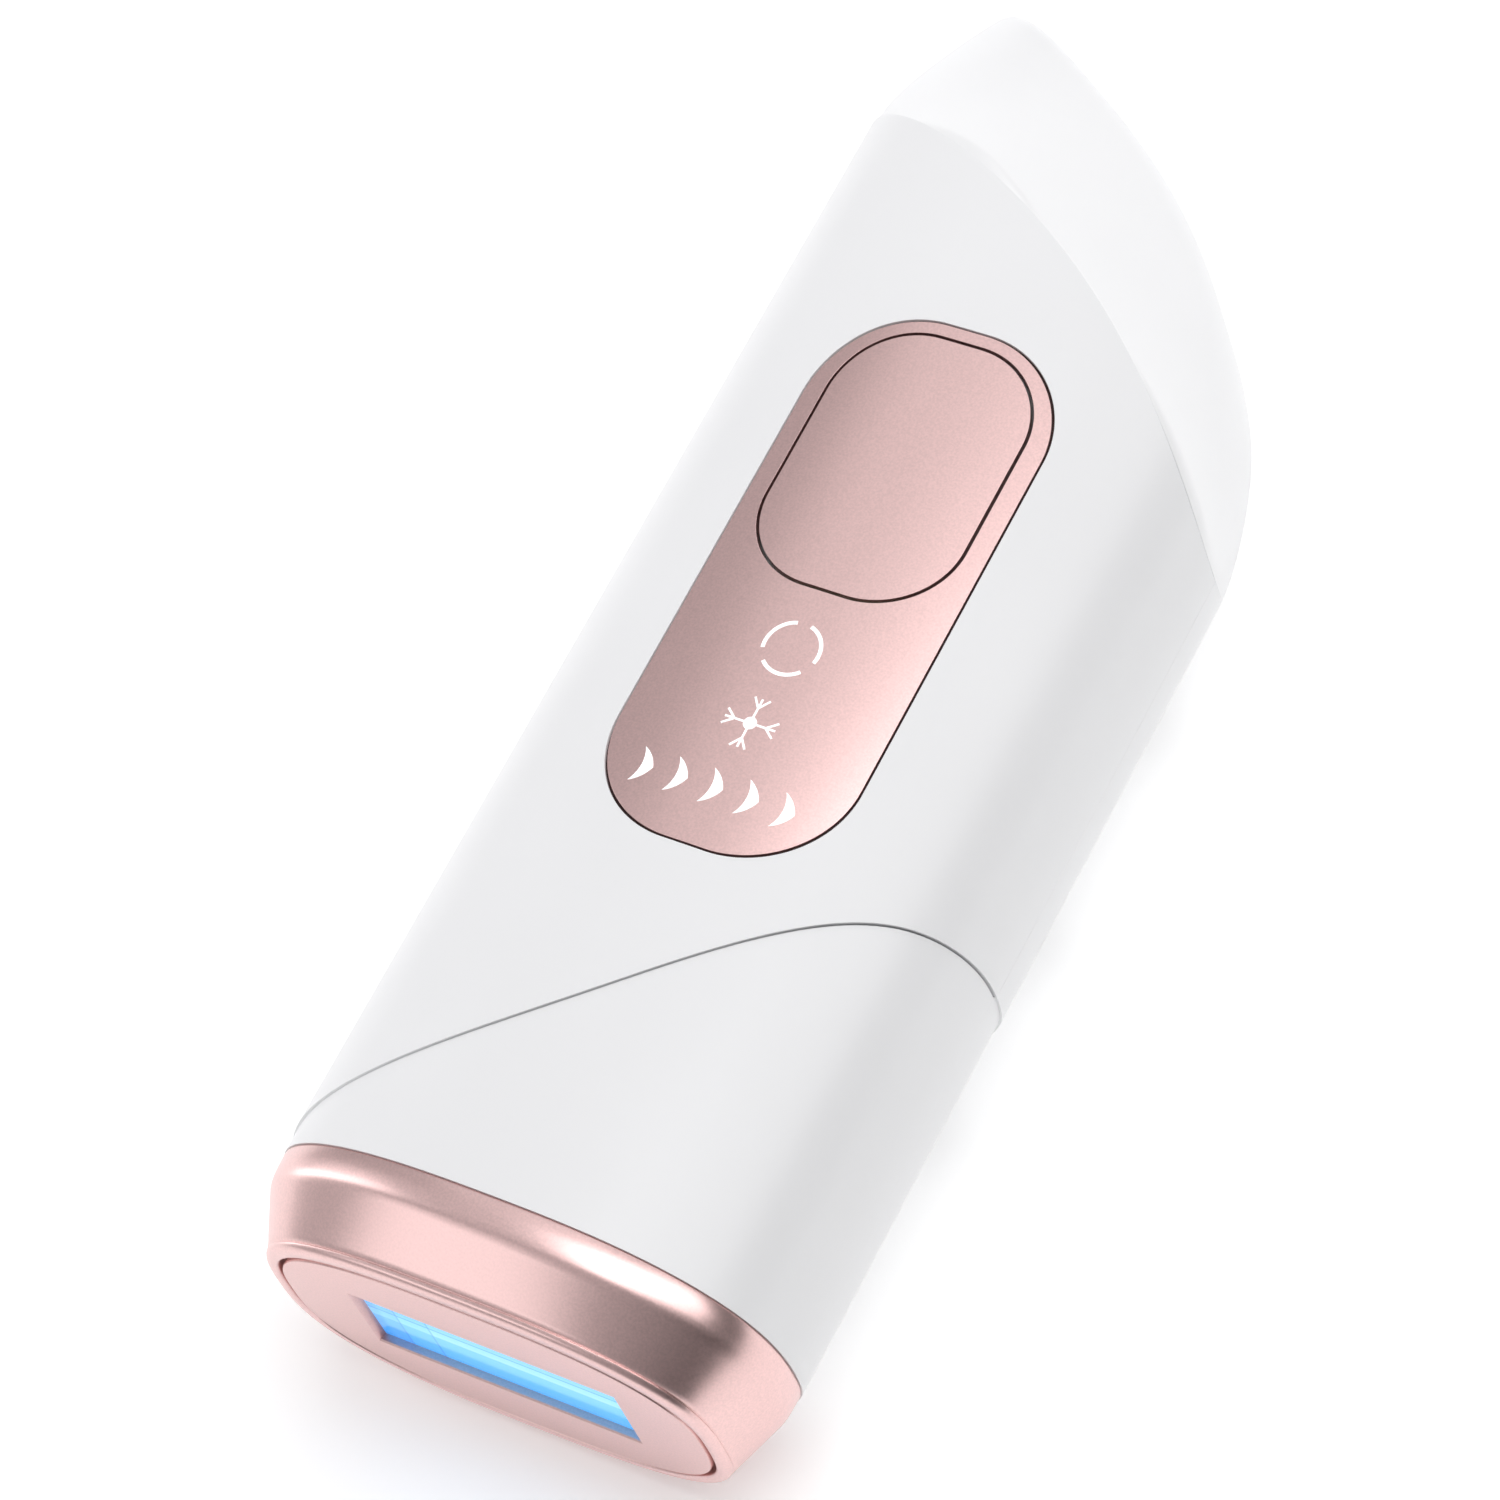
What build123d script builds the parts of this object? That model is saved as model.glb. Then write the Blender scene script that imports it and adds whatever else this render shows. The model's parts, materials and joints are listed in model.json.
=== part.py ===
from build123d import *
from math import cos, copysign, pi, sin
import os

# A hand-held flash epilator, lying on its back.
# X runs across its width, +Y from the treatment head to the tail, +Z out of the front with the button.
# The origin is under the middle of its length, on the flat that it rests on. Sizes are millimetres.

# ------------------------------------------------------------------------------ driving dimensions
length = 199.4  # skin plate to the tip of the tail
half_width = 34.6
front_depth = 22.7  # window axis to the front face
back_depth = 19.4  # window axis to where the back would be without its resting flat
rest_height = 18.9  # window axis above the resting flat
front_power = 2.57  # roundness of the section: 2 is an ellipse, more is squarer
back_power = 2.3
wall = 2.0
parting_depth = 1.0  # front and rear shells meet this far in front of the window axis
head_inset = 0.3  # the head shells stand this much inside the handle shells

collar_end = 12.0  # distance from the skin plate to where the shells begin
collar_shoulder = 7.8
collar_inset = 0.4
collar_spigot = 3.0
collar_lip = 2.4  # depth of the rim that holds the skin plate in

plate_half_width = 28.25
plate_half_height = 15.0
plate_gap = 0.5  # groove all round the skin plate
plate_flange = 0.5  # how far the flange reaches past the plate's face
plate_power = 2.8
window_width = 36.0
window_height = 12.5
window_recess = 1.1  # skin face to the glass
glass_rim = 1.0  # glass hidden behind the plate on each side
glass_thickness = 4.0
contact_travel = 0.8  # how far the head sinks in against the skin

panel_width = 32.8
panel_length = 75.4
panel_middle = 98.1
panel_corner = 13.7
panel_thickness = 1.2
panel_gap = 0.2
button_width = 26.7
button_length = 36.7
button_middle = 115.35
button_corner = 10.5
button_thickness = 1.8
button_gap = 0.3
button_travel = 0.4
button_rim = 1.2  # width of the hidden flange that keeps the button in

ring_middle = 88.2
flake_middle = 77.4
level_middle = 68.2
level_pitch = 4.8
level_count = 5

tip_radius = 6.0
cap_step = 0.5  # the tail cap lies this much below the handle shells' edge
jack_radius = 4.0
socket_radius = 2.85
pin_radius = 1.0

fit_gap = 0.3  # clearance between pieces that move past each other
screw_radius = 1.1

oval_points = 32
inside_start = 1.0  # hollows and solid sections are drawn from just behind the skin plate


# ------------------------------------------------------------------------------ places and outlines
def place(x, distance, depth):
    """A point given from the window: across, back from the skin plate, and out of the front."""
    return (x, distance - length / 2, rest_height + depth)


def cross_plane(distance):
    """A plane across the device, drawn on with X across and Y out of the front."""
    return Plane(origin=place(0, distance, 0), x_dir=(1, 0, 0), z_dir=(0, -1, 0))


def plan_plane(depth):
    """A plane parallel to the resting flat, with its origin under the skin plate."""
    return Plane(origin=place(0, 0, depth), x_dir=(1, 0, 0), z_dir=(0, 0, 1))


def oval(half_x, front, back, front_roundness=front_power, back_roundness=back_power):
    """A smooth closed oval, with its own depth and roundness in front and behind."""
    points = []
    for step in range(oval_points):
        angle = 2 * pi * step / oval_points
        roundness = front_roundness if sin(angle) >= 0 else back_roundness
        reach = front if sin(angle) >= 0 else back
        x = copysign(abs(cos(angle)) ** (2 / roundness), cos(angle)) * half_x
        y = copysign(abs(sin(angle)) ** (2 / roundness), sin(angle)) * reach
        points.append((x, y))
    return Spline(points, periodic=True)


def oval_section(distance, half_x, front, back, front_roundness=front_power, back_roundness=back_power):
    """A filled oval across the device."""
    with BuildSketch(cross_plane(distance)) as section:
        with BuildLine():
            oval(half_x, front, back, front_roundness, back_roundness)
        make_face()
    return section.sketch


def body_prism(inset, start, end):
    """The handle's section, drawn in by inset, run from one distance to another."""
    section = oval_section(start, half_width - inset, front_depth - inset, back_depth - inset)
    with BuildPart() as prism:
        extrude(section, amount=start - end)
    return prism.part


def plate_prism(half_x, half_z, start, end):
    """The skin plate's rounder oval, run from one distance to another."""
    section = oval_section(start, half_x, half_z, half_z, plate_power, plate_power)
    with BuildPart() as prism:
        extrude(section, amount=start - end)
    return prism.part


def block(x, distance, depth, mode=Mode.ADD):
    """A box between a low and a high limit across, back from the skin plate and out of the front."""
    middle = place((x[0] + x[1]) / 2, (distance[0] + distance[1]) / 2, (depth[0] + depth[1]) / 2)
    with Locations(middle):
        Box(x[1] - x[0], distance[1] - distance[0], depth[1] - depth[0], mode=mode)


def rod(radius, x, distance, depth, mode=Mode.ADD):
    """A round bar along Y, from one distance to another."""
    with Locations(Location(place(x, (distance[0] + distance[1]) / 2, depth), (90, 0, 0))):
        Cylinder(radius, distance[1] - distance[0], mode=mode)


def post(radius, x, distance, depth, mode=Mode.ADD):
    """A round bar along Z, from one depth to another."""
    with Locations(place(x, distance, (depth[0] + depth[1]) / 2)):
        Cylinder(radius, depth[1] - depth[0], mode=mode)


def bar(radius, x, distance, depth, mode=Mode.ADD):
    """A round bar along X, from one side to another."""
    with Locations(Location(place((x[0] + x[1]) / 2, distance, depth), (0, 90, 0))):
        Cylinder(radius, x[1] - x[0], mode=mode)


# ------------------------------------------------------------------------------ seams, seen from the front
overshoot = 1.03  # seam curves run this share of the half width out, past the sides
side = half_width * overshoot
beyond = length + 30


def across(share, distance):
    """A point of a seam: a share of the half width, and a distance from the skin plate."""
    return (half_width * share, distance)


def short_of_tip(share, shortfall):
    """A point of the tail: a share of the half width, and how far it is short of the tip."""
    return (half_width * share, length - shortfall)


# the S-shaped seam between head and handle
head_seam = [
    across(-overshoot, 13.2),
    across(-0.58, 24.3),
    across(-0.13, 36.6),
    across(0.42, 53.2),
    across(0.80, 61.8),
    across(overshoot, 63.9),
]


def tail_edge(shift=0.0):
    """The arc where the handle shells end and the tail cap begins."""
    start = short_of_tip(-overshoot, 31.3 + shift)
    middle = short_of_tip(0, 45.4 + shift)
    end = short_of_tip(overshoot, 76.5 + shift)
    return ThreePointArc(start, middle, end)


def ridge_arc():
    """The arc of the tail's end wall."""
    return ThreePointArc(
        short_of_tip(-overshoot, -3.0), short_of_tip(0, 18.1), short_of_tip(overshoot, 80.8)
    )


def close_far(curve, distance):
    """Close a seam curve with straight lines round the side that lies towards distance."""
    Polyline(curve @ 1, (side, distance), (-side, distance), curve @ 0)


def beyond_tail_edge(shift=0.0):
    """Everything on the tail's side of the tail edge."""
    with BuildPart() as region:
        with BuildSketch(plan_plane(0)):
            with BuildLine():
                close_far(tail_edge(shift), beyond)
            make_face()
        extrude(amount=2 * front_depth, both=True)
    return region.part


def beyond_head_seam():
    """Everything on the tail's side of the S-shaped seam."""
    with BuildPart() as region:
        with BuildSketch(plan_plane(0)):
            with BuildLine():
                close_far(Spline(head_seam), beyond)
            make_face()
        extrude(amount=2 * front_depth, both=True)
    return region.part


def in_front(depth):
    """Everything in front of a depth."""
    with BuildPart() as region:
        with BuildSketch(plan_plane(depth)):
            with Locations((0, length / 2)):
                Rectangle(4 * half_width, 2 * length)
        extrude(amount=3 * front_depth)
    return region.part


# The slanted face of the tail is ruled between two curves, one in front of the device and one behind it.
slant_front_depth = front_depth + 2.3
slant_back_depth = -8.0
slant_front = [
    (-overshoot, 55.4),
    (-0.81, 47.9),
    (-0.58, 41.7),
    (0, 47.7),
    (0.58, 63.2),
    (overshoot, 77.9),
]
slant_back = [
    (-overshoot, -0.6),
    (-0.81, -4.9),
    (-0.58, 0.4),
    (0, 15.1),
    (0.58, 39.2),
    (overshoot, 80.5),
]


def slant_section(depth, points, drop):
    """One end of the cut that leaves the slanted face, drop nearer the head."""
    with BuildSketch(plan_plane(depth)) as section:
        with BuildLine():
            curve = Spline([short_of_tip(share, shortfall + drop) for share, shortfall in points])
            close_far(curve, beyond)
        make_face()
    return section.sketch


def tail_blank(inset, drop, start):
    """The device's solid outside from start to the tip, drawn in by inset and the slant by drop."""
    prism = body_prism(inset, start, beyond)
    back_section = slant_section(slant_back_depth, slant_back, drop)
    front_section = slant_section(slant_front_depth, slant_front, drop)
    with BuildPart() as slant:
        loft([back_section, front_section], ruled=True)
    with BuildSketch(plan_plane(0)) as plan:
        with BuildLine():
            close_far(ridge_arc(), 0)
        make_face()
        fillet(plan.vertices().sort_by(Axis.Y)[-1], tip_radius)
        if inset:
            offset(amount=-inset, mode=Mode.REPLACE)
    with BuildPart() as blank:
        add(prism)
        extrude(plan.sketch, amount=2 * front_depth, both=True, mode=Mode.INTERSECT)
        add(slant.part, mode=Mode.SUBTRACT)
    return blank.part


tail_side = beyond_tail_edge()
handle_side = beyond_head_seam()
front_side = in_front(parting_depth)
above_rest = in_front(-rest_height)
handle_outside = body_prism(0, inside_start, beyond)
handle_hollow = body_prism(wall, inside_start, beyond)
handle_post_room = body_prism(wall / 2, inside_start, beyond)  # bosses and posts end inside the wall
head_outside = body_prism(head_inset, collar_end, length / 2)
head_hollow = body_prism(head_inset + wall, inside_start, length / 2)
head_post_room = body_prism(head_inset + wall / 2, inside_start, length / 2)


# ------------------------------------------------------------------------------ decor panel, button and icons
def rounded(width, height, corner, middle, grow=0.0):
    """A rounded rectangle seen from the front, grown all round."""
    with BuildSketch(plan_plane(0)) as outline:
        with Locations((0, middle)):
            RectangleRounded(width + 2 * grow, height + 2 * grow, corner + grow)
    return outline.sketch


def panel_outline(grow=0.0):
    return rounded(panel_width, panel_length, panel_corner, panel_middle, grow)


def button_outline(grow=0.0):
    return rounded(button_width, button_length, button_corner, button_middle, grow)


def skin_piece(outline, top, bottom):
    """A curved slab under the front face, between two insets, with a given outline from the front."""
    outer = body_prism(top, panel_middle - panel_length, panel_middle + panel_length)
    inner = body_prism(bottom, panel_middle - panel_length, panel_middle + panel_length)
    with BuildPart() as slab:
        extrude(outline, amount=2 * front_depth)
        add(outer, mode=Mode.INTERSECT)
        add(inner, mode=Mode.SUBTRACT)
    return slab.part


ring_radius = 3.6
icon_stroke = 0.5
flake_reach = 3.4
flake_hub = 0.85
flake_stroke = 0.28
level_height = 4.8
level_width = 2.3
level_hollow = 0.7  # how deep the back of each arrow is hollowed
light_window = 27.0

with BuildSketch(plan_plane(0)) as ring_icon:
    with Locations((0, ring_middle)):
        for middle_angle in (30, 150, 270):
            with BuildLine():
                CenterArc((0, ring_middle), ring_radius, middle_angle - 45, 90)
            trace(line_width=icon_stroke)

with BuildSketch(plan_plane(0)) as flake_icon:
    with Locations((0, flake_middle)):
        Circle(flake_hub)
        with PolarLocations(0, 4):
            with Locations((flake_reach / 2, 0)):
                Rectangle(flake_reach, flake_stroke)
            for lean in (38, -38):
                with Locations(Location((flake_reach * 0.62, 0), (0, 0, lean))):
                    Rectangle(flake_reach * 0.5, flake_stroke, align=(Align.MIN, Align.CENTER))

with BuildSketch() as one_level:
    with BuildLine():
        upper_end = (-level_width / 2, level_height / 2)
        lower_end = (-level_width / 2, -level_height / 2)
        point = (level_width / 2, 0)
        ThreePointArc(upper_end, (level_width * 0.1, level_height * 0.3), point)
        ThreePointArc(point, (level_width * 0.1, -level_height * 0.3), lower_end)
        ThreePointArc(lower_end, (level_hollow - level_width / 2, 0), upper_end)
    make_face()

with BuildSketch(plan_plane(0)) as level_icon:
    with Locations((0, level_middle)):
        with GridLocations(level_pitch, 1, level_count, 1):
            add(one_level.sketch)

icons = ring_icon.sketch + flake_icon.sketch + level_icon.sketch
light_window_corner = 3.0
icons_middle = (ring_middle + level_middle) / 2
light_window_outline = rounded(light_window, light_window, light_window_corner, icons_middle)
panel_slab = skin_piece(panel_outline(), 0, panel_thickness)
panel_recess = skin_piece(panel_outline(panel_gap), -1, panel_thickness)
button_hole = button_outline(button_gap)

with BuildPart() as decor_panel:
    add(panel_slab)
    extrude(button_hole, amount=2 * front_depth, mode=Mode.SUBTRACT)
    extrude(icons, amount=2 * front_depth, mode=Mode.SUBTRACT)

# The light guide lies in a window of the shell, and its icons stand up flush with the panel.
guide_thickness = 3.0
guide_slab = skin_piece(light_window_outline, panel_thickness, panel_thickness + guide_thickness)

with BuildPart() as icon_light_guide:
    add(panel_slab)
    extrude(icons, amount=2 * front_depth, mode=Mode.INTERSECT)
    add(guide_slab)

# The button's cap fills the panel's hole; its rim hooks under the shell and its stem meets the switch.
rim_top = wall + 0.05
rim_thickness = 0.8
stem_radius = 2.5
board_top = front_depth - 11.2
switch_height = 3.5
plunger_radius = 1.7
plunger_height = 0.9
stem_end = board_top + switch_height + plunger_height
button_slab = skin_piece(button_outline(), 0, rim_top + rim_thickness)
rim_slab = skin_piece(button_outline(button_rim), rim_top, rim_top + rim_thickness)

with BuildPart() as button:
    add(button_slab)
    add(rim_slab)
    post(stem_radius, 0, button_middle, (stem_end, front_depth - rim_top))

# A soft ring on the rim's underside keeps water out of the switch.
gasket_height = 0.8
gasket_slab = skin_piece(
    button_outline(button_rim), rim_top + rim_thickness, rim_top + rim_thickness + gasket_height
)

with BuildPart() as button_gasket:
    add(gasket_slab)
    extrude(button_outline(-1.5), amount=2 * front_depth, mode=Mode.SUBTRACT)

# ------------------------------------------------------------------------------ shells
shell_screws_at = [
    (-0.79, 44.0),
    (0.79, 52.0),
    (-0.79, 80.0),
    (0.79, 80.0),
    (0.79, 112.0),
    (-0.79, 150.0),
]
boss_radius = 3.2
head_screw = 1  # this one joins the head shells, the others join the handle shells
screw_head_radius = 2.2
screw_head_height = 1.6
screw_seat = -8.0
screw_reach = 7.0


def bosses(chosen, depth):
    """Screw bosses at the chosen places."""
    for share, distance in chosen:
        post(boss_radius, half_width * share, distance, depth)


def screw_holes(chosen):
    """Shank and head holes for the shell screws."""
    for share, distance in chosen:
        post(screw_radius, half_width * share, distance, (screw_seat - 1, screw_reach), mode=Mode.SUBTRACT)
        head_depth = (-back_depth - 1, screw_seat)
        post(screw_head_radius + 0.2, half_width * share, distance, head_depth, mode=Mode.SUBTRACT)


head_screws_at = [shell_screws_at[head_screw]]
handle_screws_at = [spot for spot in shell_screws_at if spot not in head_screws_at]

with BuildPart() as handle_bosses:
    bosses(handle_screws_at, (-back_depth, front_depth))
    add(handle_post_room, mode=Mode.INTERSECT)

with BuildPart() as head_bosses:
    bosses(head_screws_at, (-back_depth, front_depth))
    add(head_post_room, mode=Mode.INTERSECT)

# Small posts carry the control board under the front shell and the power board over the rear shell.
control_posts = [(-11, 61.2), (11, 61.2), (-9, 139.4), (9, 139.4)]
power_posts = [(-17.5, 70), (17.5, 70), (-17.5, 131.2), (17.5, 131.2)]
power_top = -11.8
power_thickness = 1.6
board_post_radius = 2.4
small_screw_radius = 0.9
small_screw_length = 4.0
power_screw_end = power_top - power_thickness - 2.8

with BuildPart() as board_posts:
    for x, distance in control_posts:
        post(board_post_radius, x, distance, (board_top, front_depth))
    for x, distance in power_posts:
        post(board_post_radius, x, distance, (-back_depth, power_top - power_thickness))
    add(handle_post_room, mode=Mode.INTERSECT)

with BuildPart() as front_handle_shell:
    add(handle_outside)
    add(handle_hollow, mode=Mode.SUBTRACT)
    add(handle_bosses.part)
    add(board_posts.part)
    add(handle_side, mode=Mode.INTERSECT)
    add(tail_side, mode=Mode.SUBTRACT)
    add(front_side, mode=Mode.INTERSECT)
    screw_holes(handle_screws_at)
    for x, distance in control_posts:
        pilot_depth = (board_top, board_top + small_screw_length)
        post(small_screw_radius, x, distance, pilot_depth, mode=Mode.SUBTRACT)
    add(panel_recess, mode=Mode.SUBTRACT)
    extrude(light_window_outline, amount=2 * front_depth, mode=Mode.SUBTRACT)
    extrude(button_hole, amount=2 * front_depth, mode=Mode.SUBTRACT)

# The intake slots let the fan draw air in over the electronics.
intake_width = 1.8
intake_pitch = 4.0
intake_count = 5
intake_length = 20.0
intake_middle = (-12.0, 152.0)

with BuildPart() as rear_handle_shell:
    add(handle_outside)
    add(handle_hollow, mode=Mode.SUBTRACT)
    add(handle_bosses.part)
    add(board_posts.part)
    add(handle_side, mode=Mode.INTERSECT)
    add(tail_side, mode=Mode.SUBTRACT)
    add(front_side, mode=Mode.SUBTRACT)
    add(above_rest, mode=Mode.INTERSECT)
    screw_holes(handle_screws_at)
    for x, distance in power_posts:
        pilot_depth = (power_screw_end, power_top - power_thickness)
        post(small_screw_radius, x, distance, pilot_depth, mode=Mode.SUBTRACT)
    with BuildSketch(plan_plane(-back_depth - 1)):
        with Locations(intake_middle):
            with GridLocations(1, intake_pitch, 1, intake_count):
                SlotOverall(intake_length, intake_width)
    extrude(amount=back_depth - 8, mode=Mode.SUBTRACT)

with BuildPart() as front_head_shell:
    add(head_outside)
    add(head_hollow, mode=Mode.SUBTRACT)
    add(head_bosses.part)
    add(handle_side, mode=Mode.SUBTRACT)
    add(front_side, mode=Mode.INTERSECT)
    screw_holes(head_screws_at)

# The exhaust slots follow the slanted seam.
exhaust_width = 1.8
exhaust_pitch = 4.0
exhaust_count = 6
exhaust_start = 20.0
exhaust_end = 20.0
seam_rise = 0.87  # how far the seam climbs for each step across
seam_middle = 40.4
seam_margin = 7.0

with BuildPart() as rear_head_shell:
    add(head_outside)
    add(head_hollow, mode=Mode.SUBTRACT)
    add(head_bosses.part)
    add(handle_side, mode=Mode.SUBTRACT)
    add(front_side, mode=Mode.SUBTRACT)
    add(above_rest, mode=Mode.INTERSECT)
    screw_holes(head_screws_at)
    with BuildSketch(plan_plane(-back_depth - 1)):
        for step in range(exhaust_count):
            slot_distance = exhaust_start + step * exhaust_pitch
            slot_start = (slot_distance - seam_middle) / seam_rise + seam_margin
            with Locations(((slot_start + exhaust_end) / 2, slot_distance)):
                SlotOverall(exhaust_end - slot_start, exhaust_width)
    extrude(amount=back_depth - 8, mode=Mode.SUBTRACT)

slot_span = screw_head_radius * 1.3  # cross slots in the screw heads
slot_width = 0.6

with BuildPart() as shell_screws:
    for share, distance in shell_screws_at:
        post(screw_head_radius, half_width * share, distance, (screw_seat - screw_head_height, screw_seat))
        post(screw_radius, half_width * share, distance, (screw_seat, screw_reach))
    for share, distance in shell_screws_at:
        slot_floor = screw_seat - screw_head_height / 2
        with Locations(place(half_width * share, distance, slot_floor - screw_head_height)):
            Box(slot_span, slot_width, 2 * screw_head_height, mode=Mode.SUBTRACT)
            Box(slot_width, slot_span, 2 * screw_head_height, mode=Mode.SUBTRACT)

# ------------------------------------------------------------------------------ tail
slant_wall = 1.45 * wall  # the slanted face needs this much drop to keep its wall
jack_x = -0.46 * half_width
jack_depth = -10.6
jack_shortfall = 9.4  # the socket's mouth is this far short of the tip
jack_mouth = length - jack_shortfall
jack_length = 12.0
jack_boss_length = 7.0
jack_boss_radius = jack_radius + 1.6
jack_recess_radius = jack_radius + 0.8
socket_length = 9.5
spigot_thickness = 1.2
spigot_length = 4.0

cap_outside = tail_blank(0, cap_step, length / 2)
cap_hollow = tail_blank(wall, cap_step + slant_wall, length / 2 - 10)
before_spigot = beyond_tail_edge(spigot_length)
after_spigot = beyond_tail_edge(-1.0)

spigot_outer = body_prism(wall, length / 2, beyond)
spigot_inner = body_prism(wall + spigot_thickness, length / 2, beyond)

with BuildPart() as cap_spigot:
    add(spigot_outer)
    add(spigot_inner, mode=Mode.SUBTRACT)
    add(before_spigot, mode=Mode.INTERSECT)
    add(after_spigot, mode=Mode.SUBTRACT)

with BuildPart() as jack_boss:
    rod(jack_boss_radius, jack_x, (jack_mouth - jack_boss_length, beyond), jack_depth)
    add(cap_outside, mode=Mode.INTERSECT)

with BuildPart() as tail_cap:
    add(cap_outside)
    add(tail_side, mode=Mode.INTERSECT)
    add(above_rest, mode=Mode.INTERSECT)
    add(cap_hollow, mode=Mode.SUBTRACT)
    add(cap_spigot.part)
    add(jack_boss.part)
    rod(jack_recess_radius, jack_x, (jack_mouth, beyond), jack_depth, mode=Mode.SUBTRACT)
    rod(jack_radius, jack_x, (jack_mouth - jack_length, beyond), jack_depth, mode=Mode.SUBTRACT)

# ------------------------------------------------------------------------------ power inlet
pin_length = 8.5
socket_floor = jack_mouth - socket_length
jack_back = jack_mouth - jack_length

with BuildPart() as dc_jack_housing:
    rod(jack_radius, jack_x, (jack_back, jack_mouth), jack_depth)
    rod(socket_radius, jack_x, (socket_floor, jack_mouth), jack_depth, mode=Mode.SUBTRACT)

with BuildPart() as dc_jack_pin:
    rod(pin_radius, jack_x, (socket_floor, socket_floor + pin_length), jack_depth)

terminal_size = (1.6, 3.0, 0.4)

with BuildPart() as dc_jack_terminals:
    for shift in (-2.2, 2.2):
        with Locations(place(jack_x + shift, jack_back - terminal_size[1] / 2, jack_depth)):
            Box(*terminal_size)

# ------------------------------------------------------------------------------ collar
nose_rim = 1.8  # flat of the collar round the groove
nose_half_width = plate_half_width + plate_gap + nose_rim
nose_half_height = plate_half_height + plate_gap + nose_rim + 0.6
nose_bevel = 1.0
nose_back_trim = 0.7
flange_half_width = plate_half_width + plate_gap + plate_flange
flange_half_height = plate_half_height + plate_gap + plate_flange
flange_start = collar_lip + 0.05
flange_end = 5.0
flange_room = 6.0
collar_hollow_start = flange_room
shoulder_inset = collar_inset + 0.35
collar_wall = 2.0
collar_back_trim = 0.5  # the collar stays clear of what the device rests on


def nose_section(distance, inset):
    """The collar's outline near the skin, drawn in by inset."""
    half_front = nose_half_height - inset
    return oval_section(
        distance, nose_half_width - inset, half_front, half_front - nose_back_trim, plate_power, plate_power
    )


front_section = nose_section(0, nose_bevel)
bevel_section = nose_section(nose_bevel, 0)
shoulder_section = oval_section(
    collar_shoulder,
    half_width - shoulder_inset,
    front_depth - shoulder_inset,
    back_depth - shoulder_inset - collar_back_trim,
)
end_section = oval_section(
    collar_end,
    half_width - collar_inset,
    front_depth - collar_inset,
    back_depth - collar_inset - collar_back_trim,
)

with BuildPart() as collar_outside:
    loft([front_section, bevel_section], ruled=True)
    loft([bevel_section, shoulder_section], ruled=True)
    loft([shoulder_section, end_section], ruled=True)

plate_opening = plate_prism(plate_half_width + plate_gap, plate_half_height + plate_gap, -1, collar_end)
flange_pocket = plate_prism(flange_half_width + fit_gap, flange_half_height + fit_gap, collar_lip, collar_end)
spigot_outside = body_prism(head_inset + wall, collar_end - 1, collar_end + collar_spigot)
collar_hollow = body_prism(
    head_inset + wall + spigot_thickness, collar_hollow_start, collar_end + collar_spigot + 1
)

with BuildPart() as collar:
    add(collar_outside.part)
    add(spigot_outside)
    add(plate_opening, mode=Mode.SUBTRACT)
    add(flange_pocket, mode=Mode.SUBTRACT)
    add(collar_hollow, mode=Mode.SUBTRACT)

# ------------------------------------------------------------------------------ skin plate and window
glass_width = window_width + 2 * glass_rim
glass_height = window_height + 2 * glass_rim
glass_gap = 0.05
glass_end = window_recess + glass_thickness
gasket_end = glass_end + 0.8
gasket_band = 1.7  # width of the seal round the glass
filter_end = gasket_end + 1.1
neck_half_width = glass_width / 2 + 1.3
neck_half_height = glass_height / 2 + 1.7
pocket_width = glass_width + 2 * glass_gap
pocket_height = glass_height + 2 * glass_gap
plate_face = plate_prism(plate_half_width, plate_half_height, 0, flange_start)
plate_back = plate_prism(flange_half_width, flange_half_height, flange_start, flange_end)


def window_block(width, height, distance, mode=Mode.ADD):
    """A box as wide and high as given, centred on the window."""
    block((-width / 2, width / 2), distance, (-height / 2, height / 2), mode)


with BuildPart() as face_plate:
    add(plate_face)
    add(plate_back)
    window_block(2 * neck_half_width, 2 * neck_half_height, (flange_end, filter_end))
    window_block(pocket_width, pocket_height, (window_recess, filter_end), Mode.SUBTRACT)
    with BuildSketch(cross_plane(0)) as window_front:
        Rectangle(window_width, window_height)
    with BuildSketch(cross_plane(window_recess)) as window_back:
        Rectangle(window_width - 2 * glass_rim, window_height)
    loft([window_front.sketch, window_back.sketch], ruled=True, mode=Mode.SUBTRACT)

with BuildPart() as window_glass:
    window_block(glass_width, glass_height, (window_recess, glass_end))

with BuildPart() as window_gasket:
    window_block(glass_width, glass_height, (glass_end, gasket_end))
    gasket_width = glass_width - 2 * gasket_band
    gasket_height_inside = glass_height - 2 * gasket_band
    window_block(gasket_width, gasket_height_inside, (glass_end, gasket_end), Mode.SUBTRACT)

with BuildPart() as filter_glass:
    window_block(glass_width, glass_height, (gasket_end, filter_end))

# ------------------------------------------------------------------------------ flash lamp
lamp_distance = 13.5
lamp_radius = 2.5
lamp_wall = 0.7
lamp_half_length = 24.0
lamp_plug = 2.0
electrode_radius = 0.6
electrode_tip = 16.0
holder_half_width = lamp_half_length + 1.5
holder_half_height = 5.0
holder_start = filter_end + 2.4
holder_end = holder_start + 8.0
reflector_half_width = 18.3
reflector_half_height = 6.2
reflector_back = 17.0
reflector_thickness = 0.5
reflector_room = 0.9
housing_half_width = holder_half_width + 0.7
housing_half_height = 8.5
housing_end = 22.0

with BuildPart() as flash_lamp:
    bar(lamp_radius, (-lamp_half_length, lamp_half_length), lamp_distance, 0)
    bore_half = lamp_half_length - lamp_plug
    bar(lamp_radius - lamp_wall, (-bore_half, bore_half), lamp_distance, 0, mode=Mode.SUBTRACT)
    bar(electrode_radius, (-lamp_half_length, lamp_half_length), lamp_distance, 0, mode=Mode.SUBTRACT)

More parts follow.
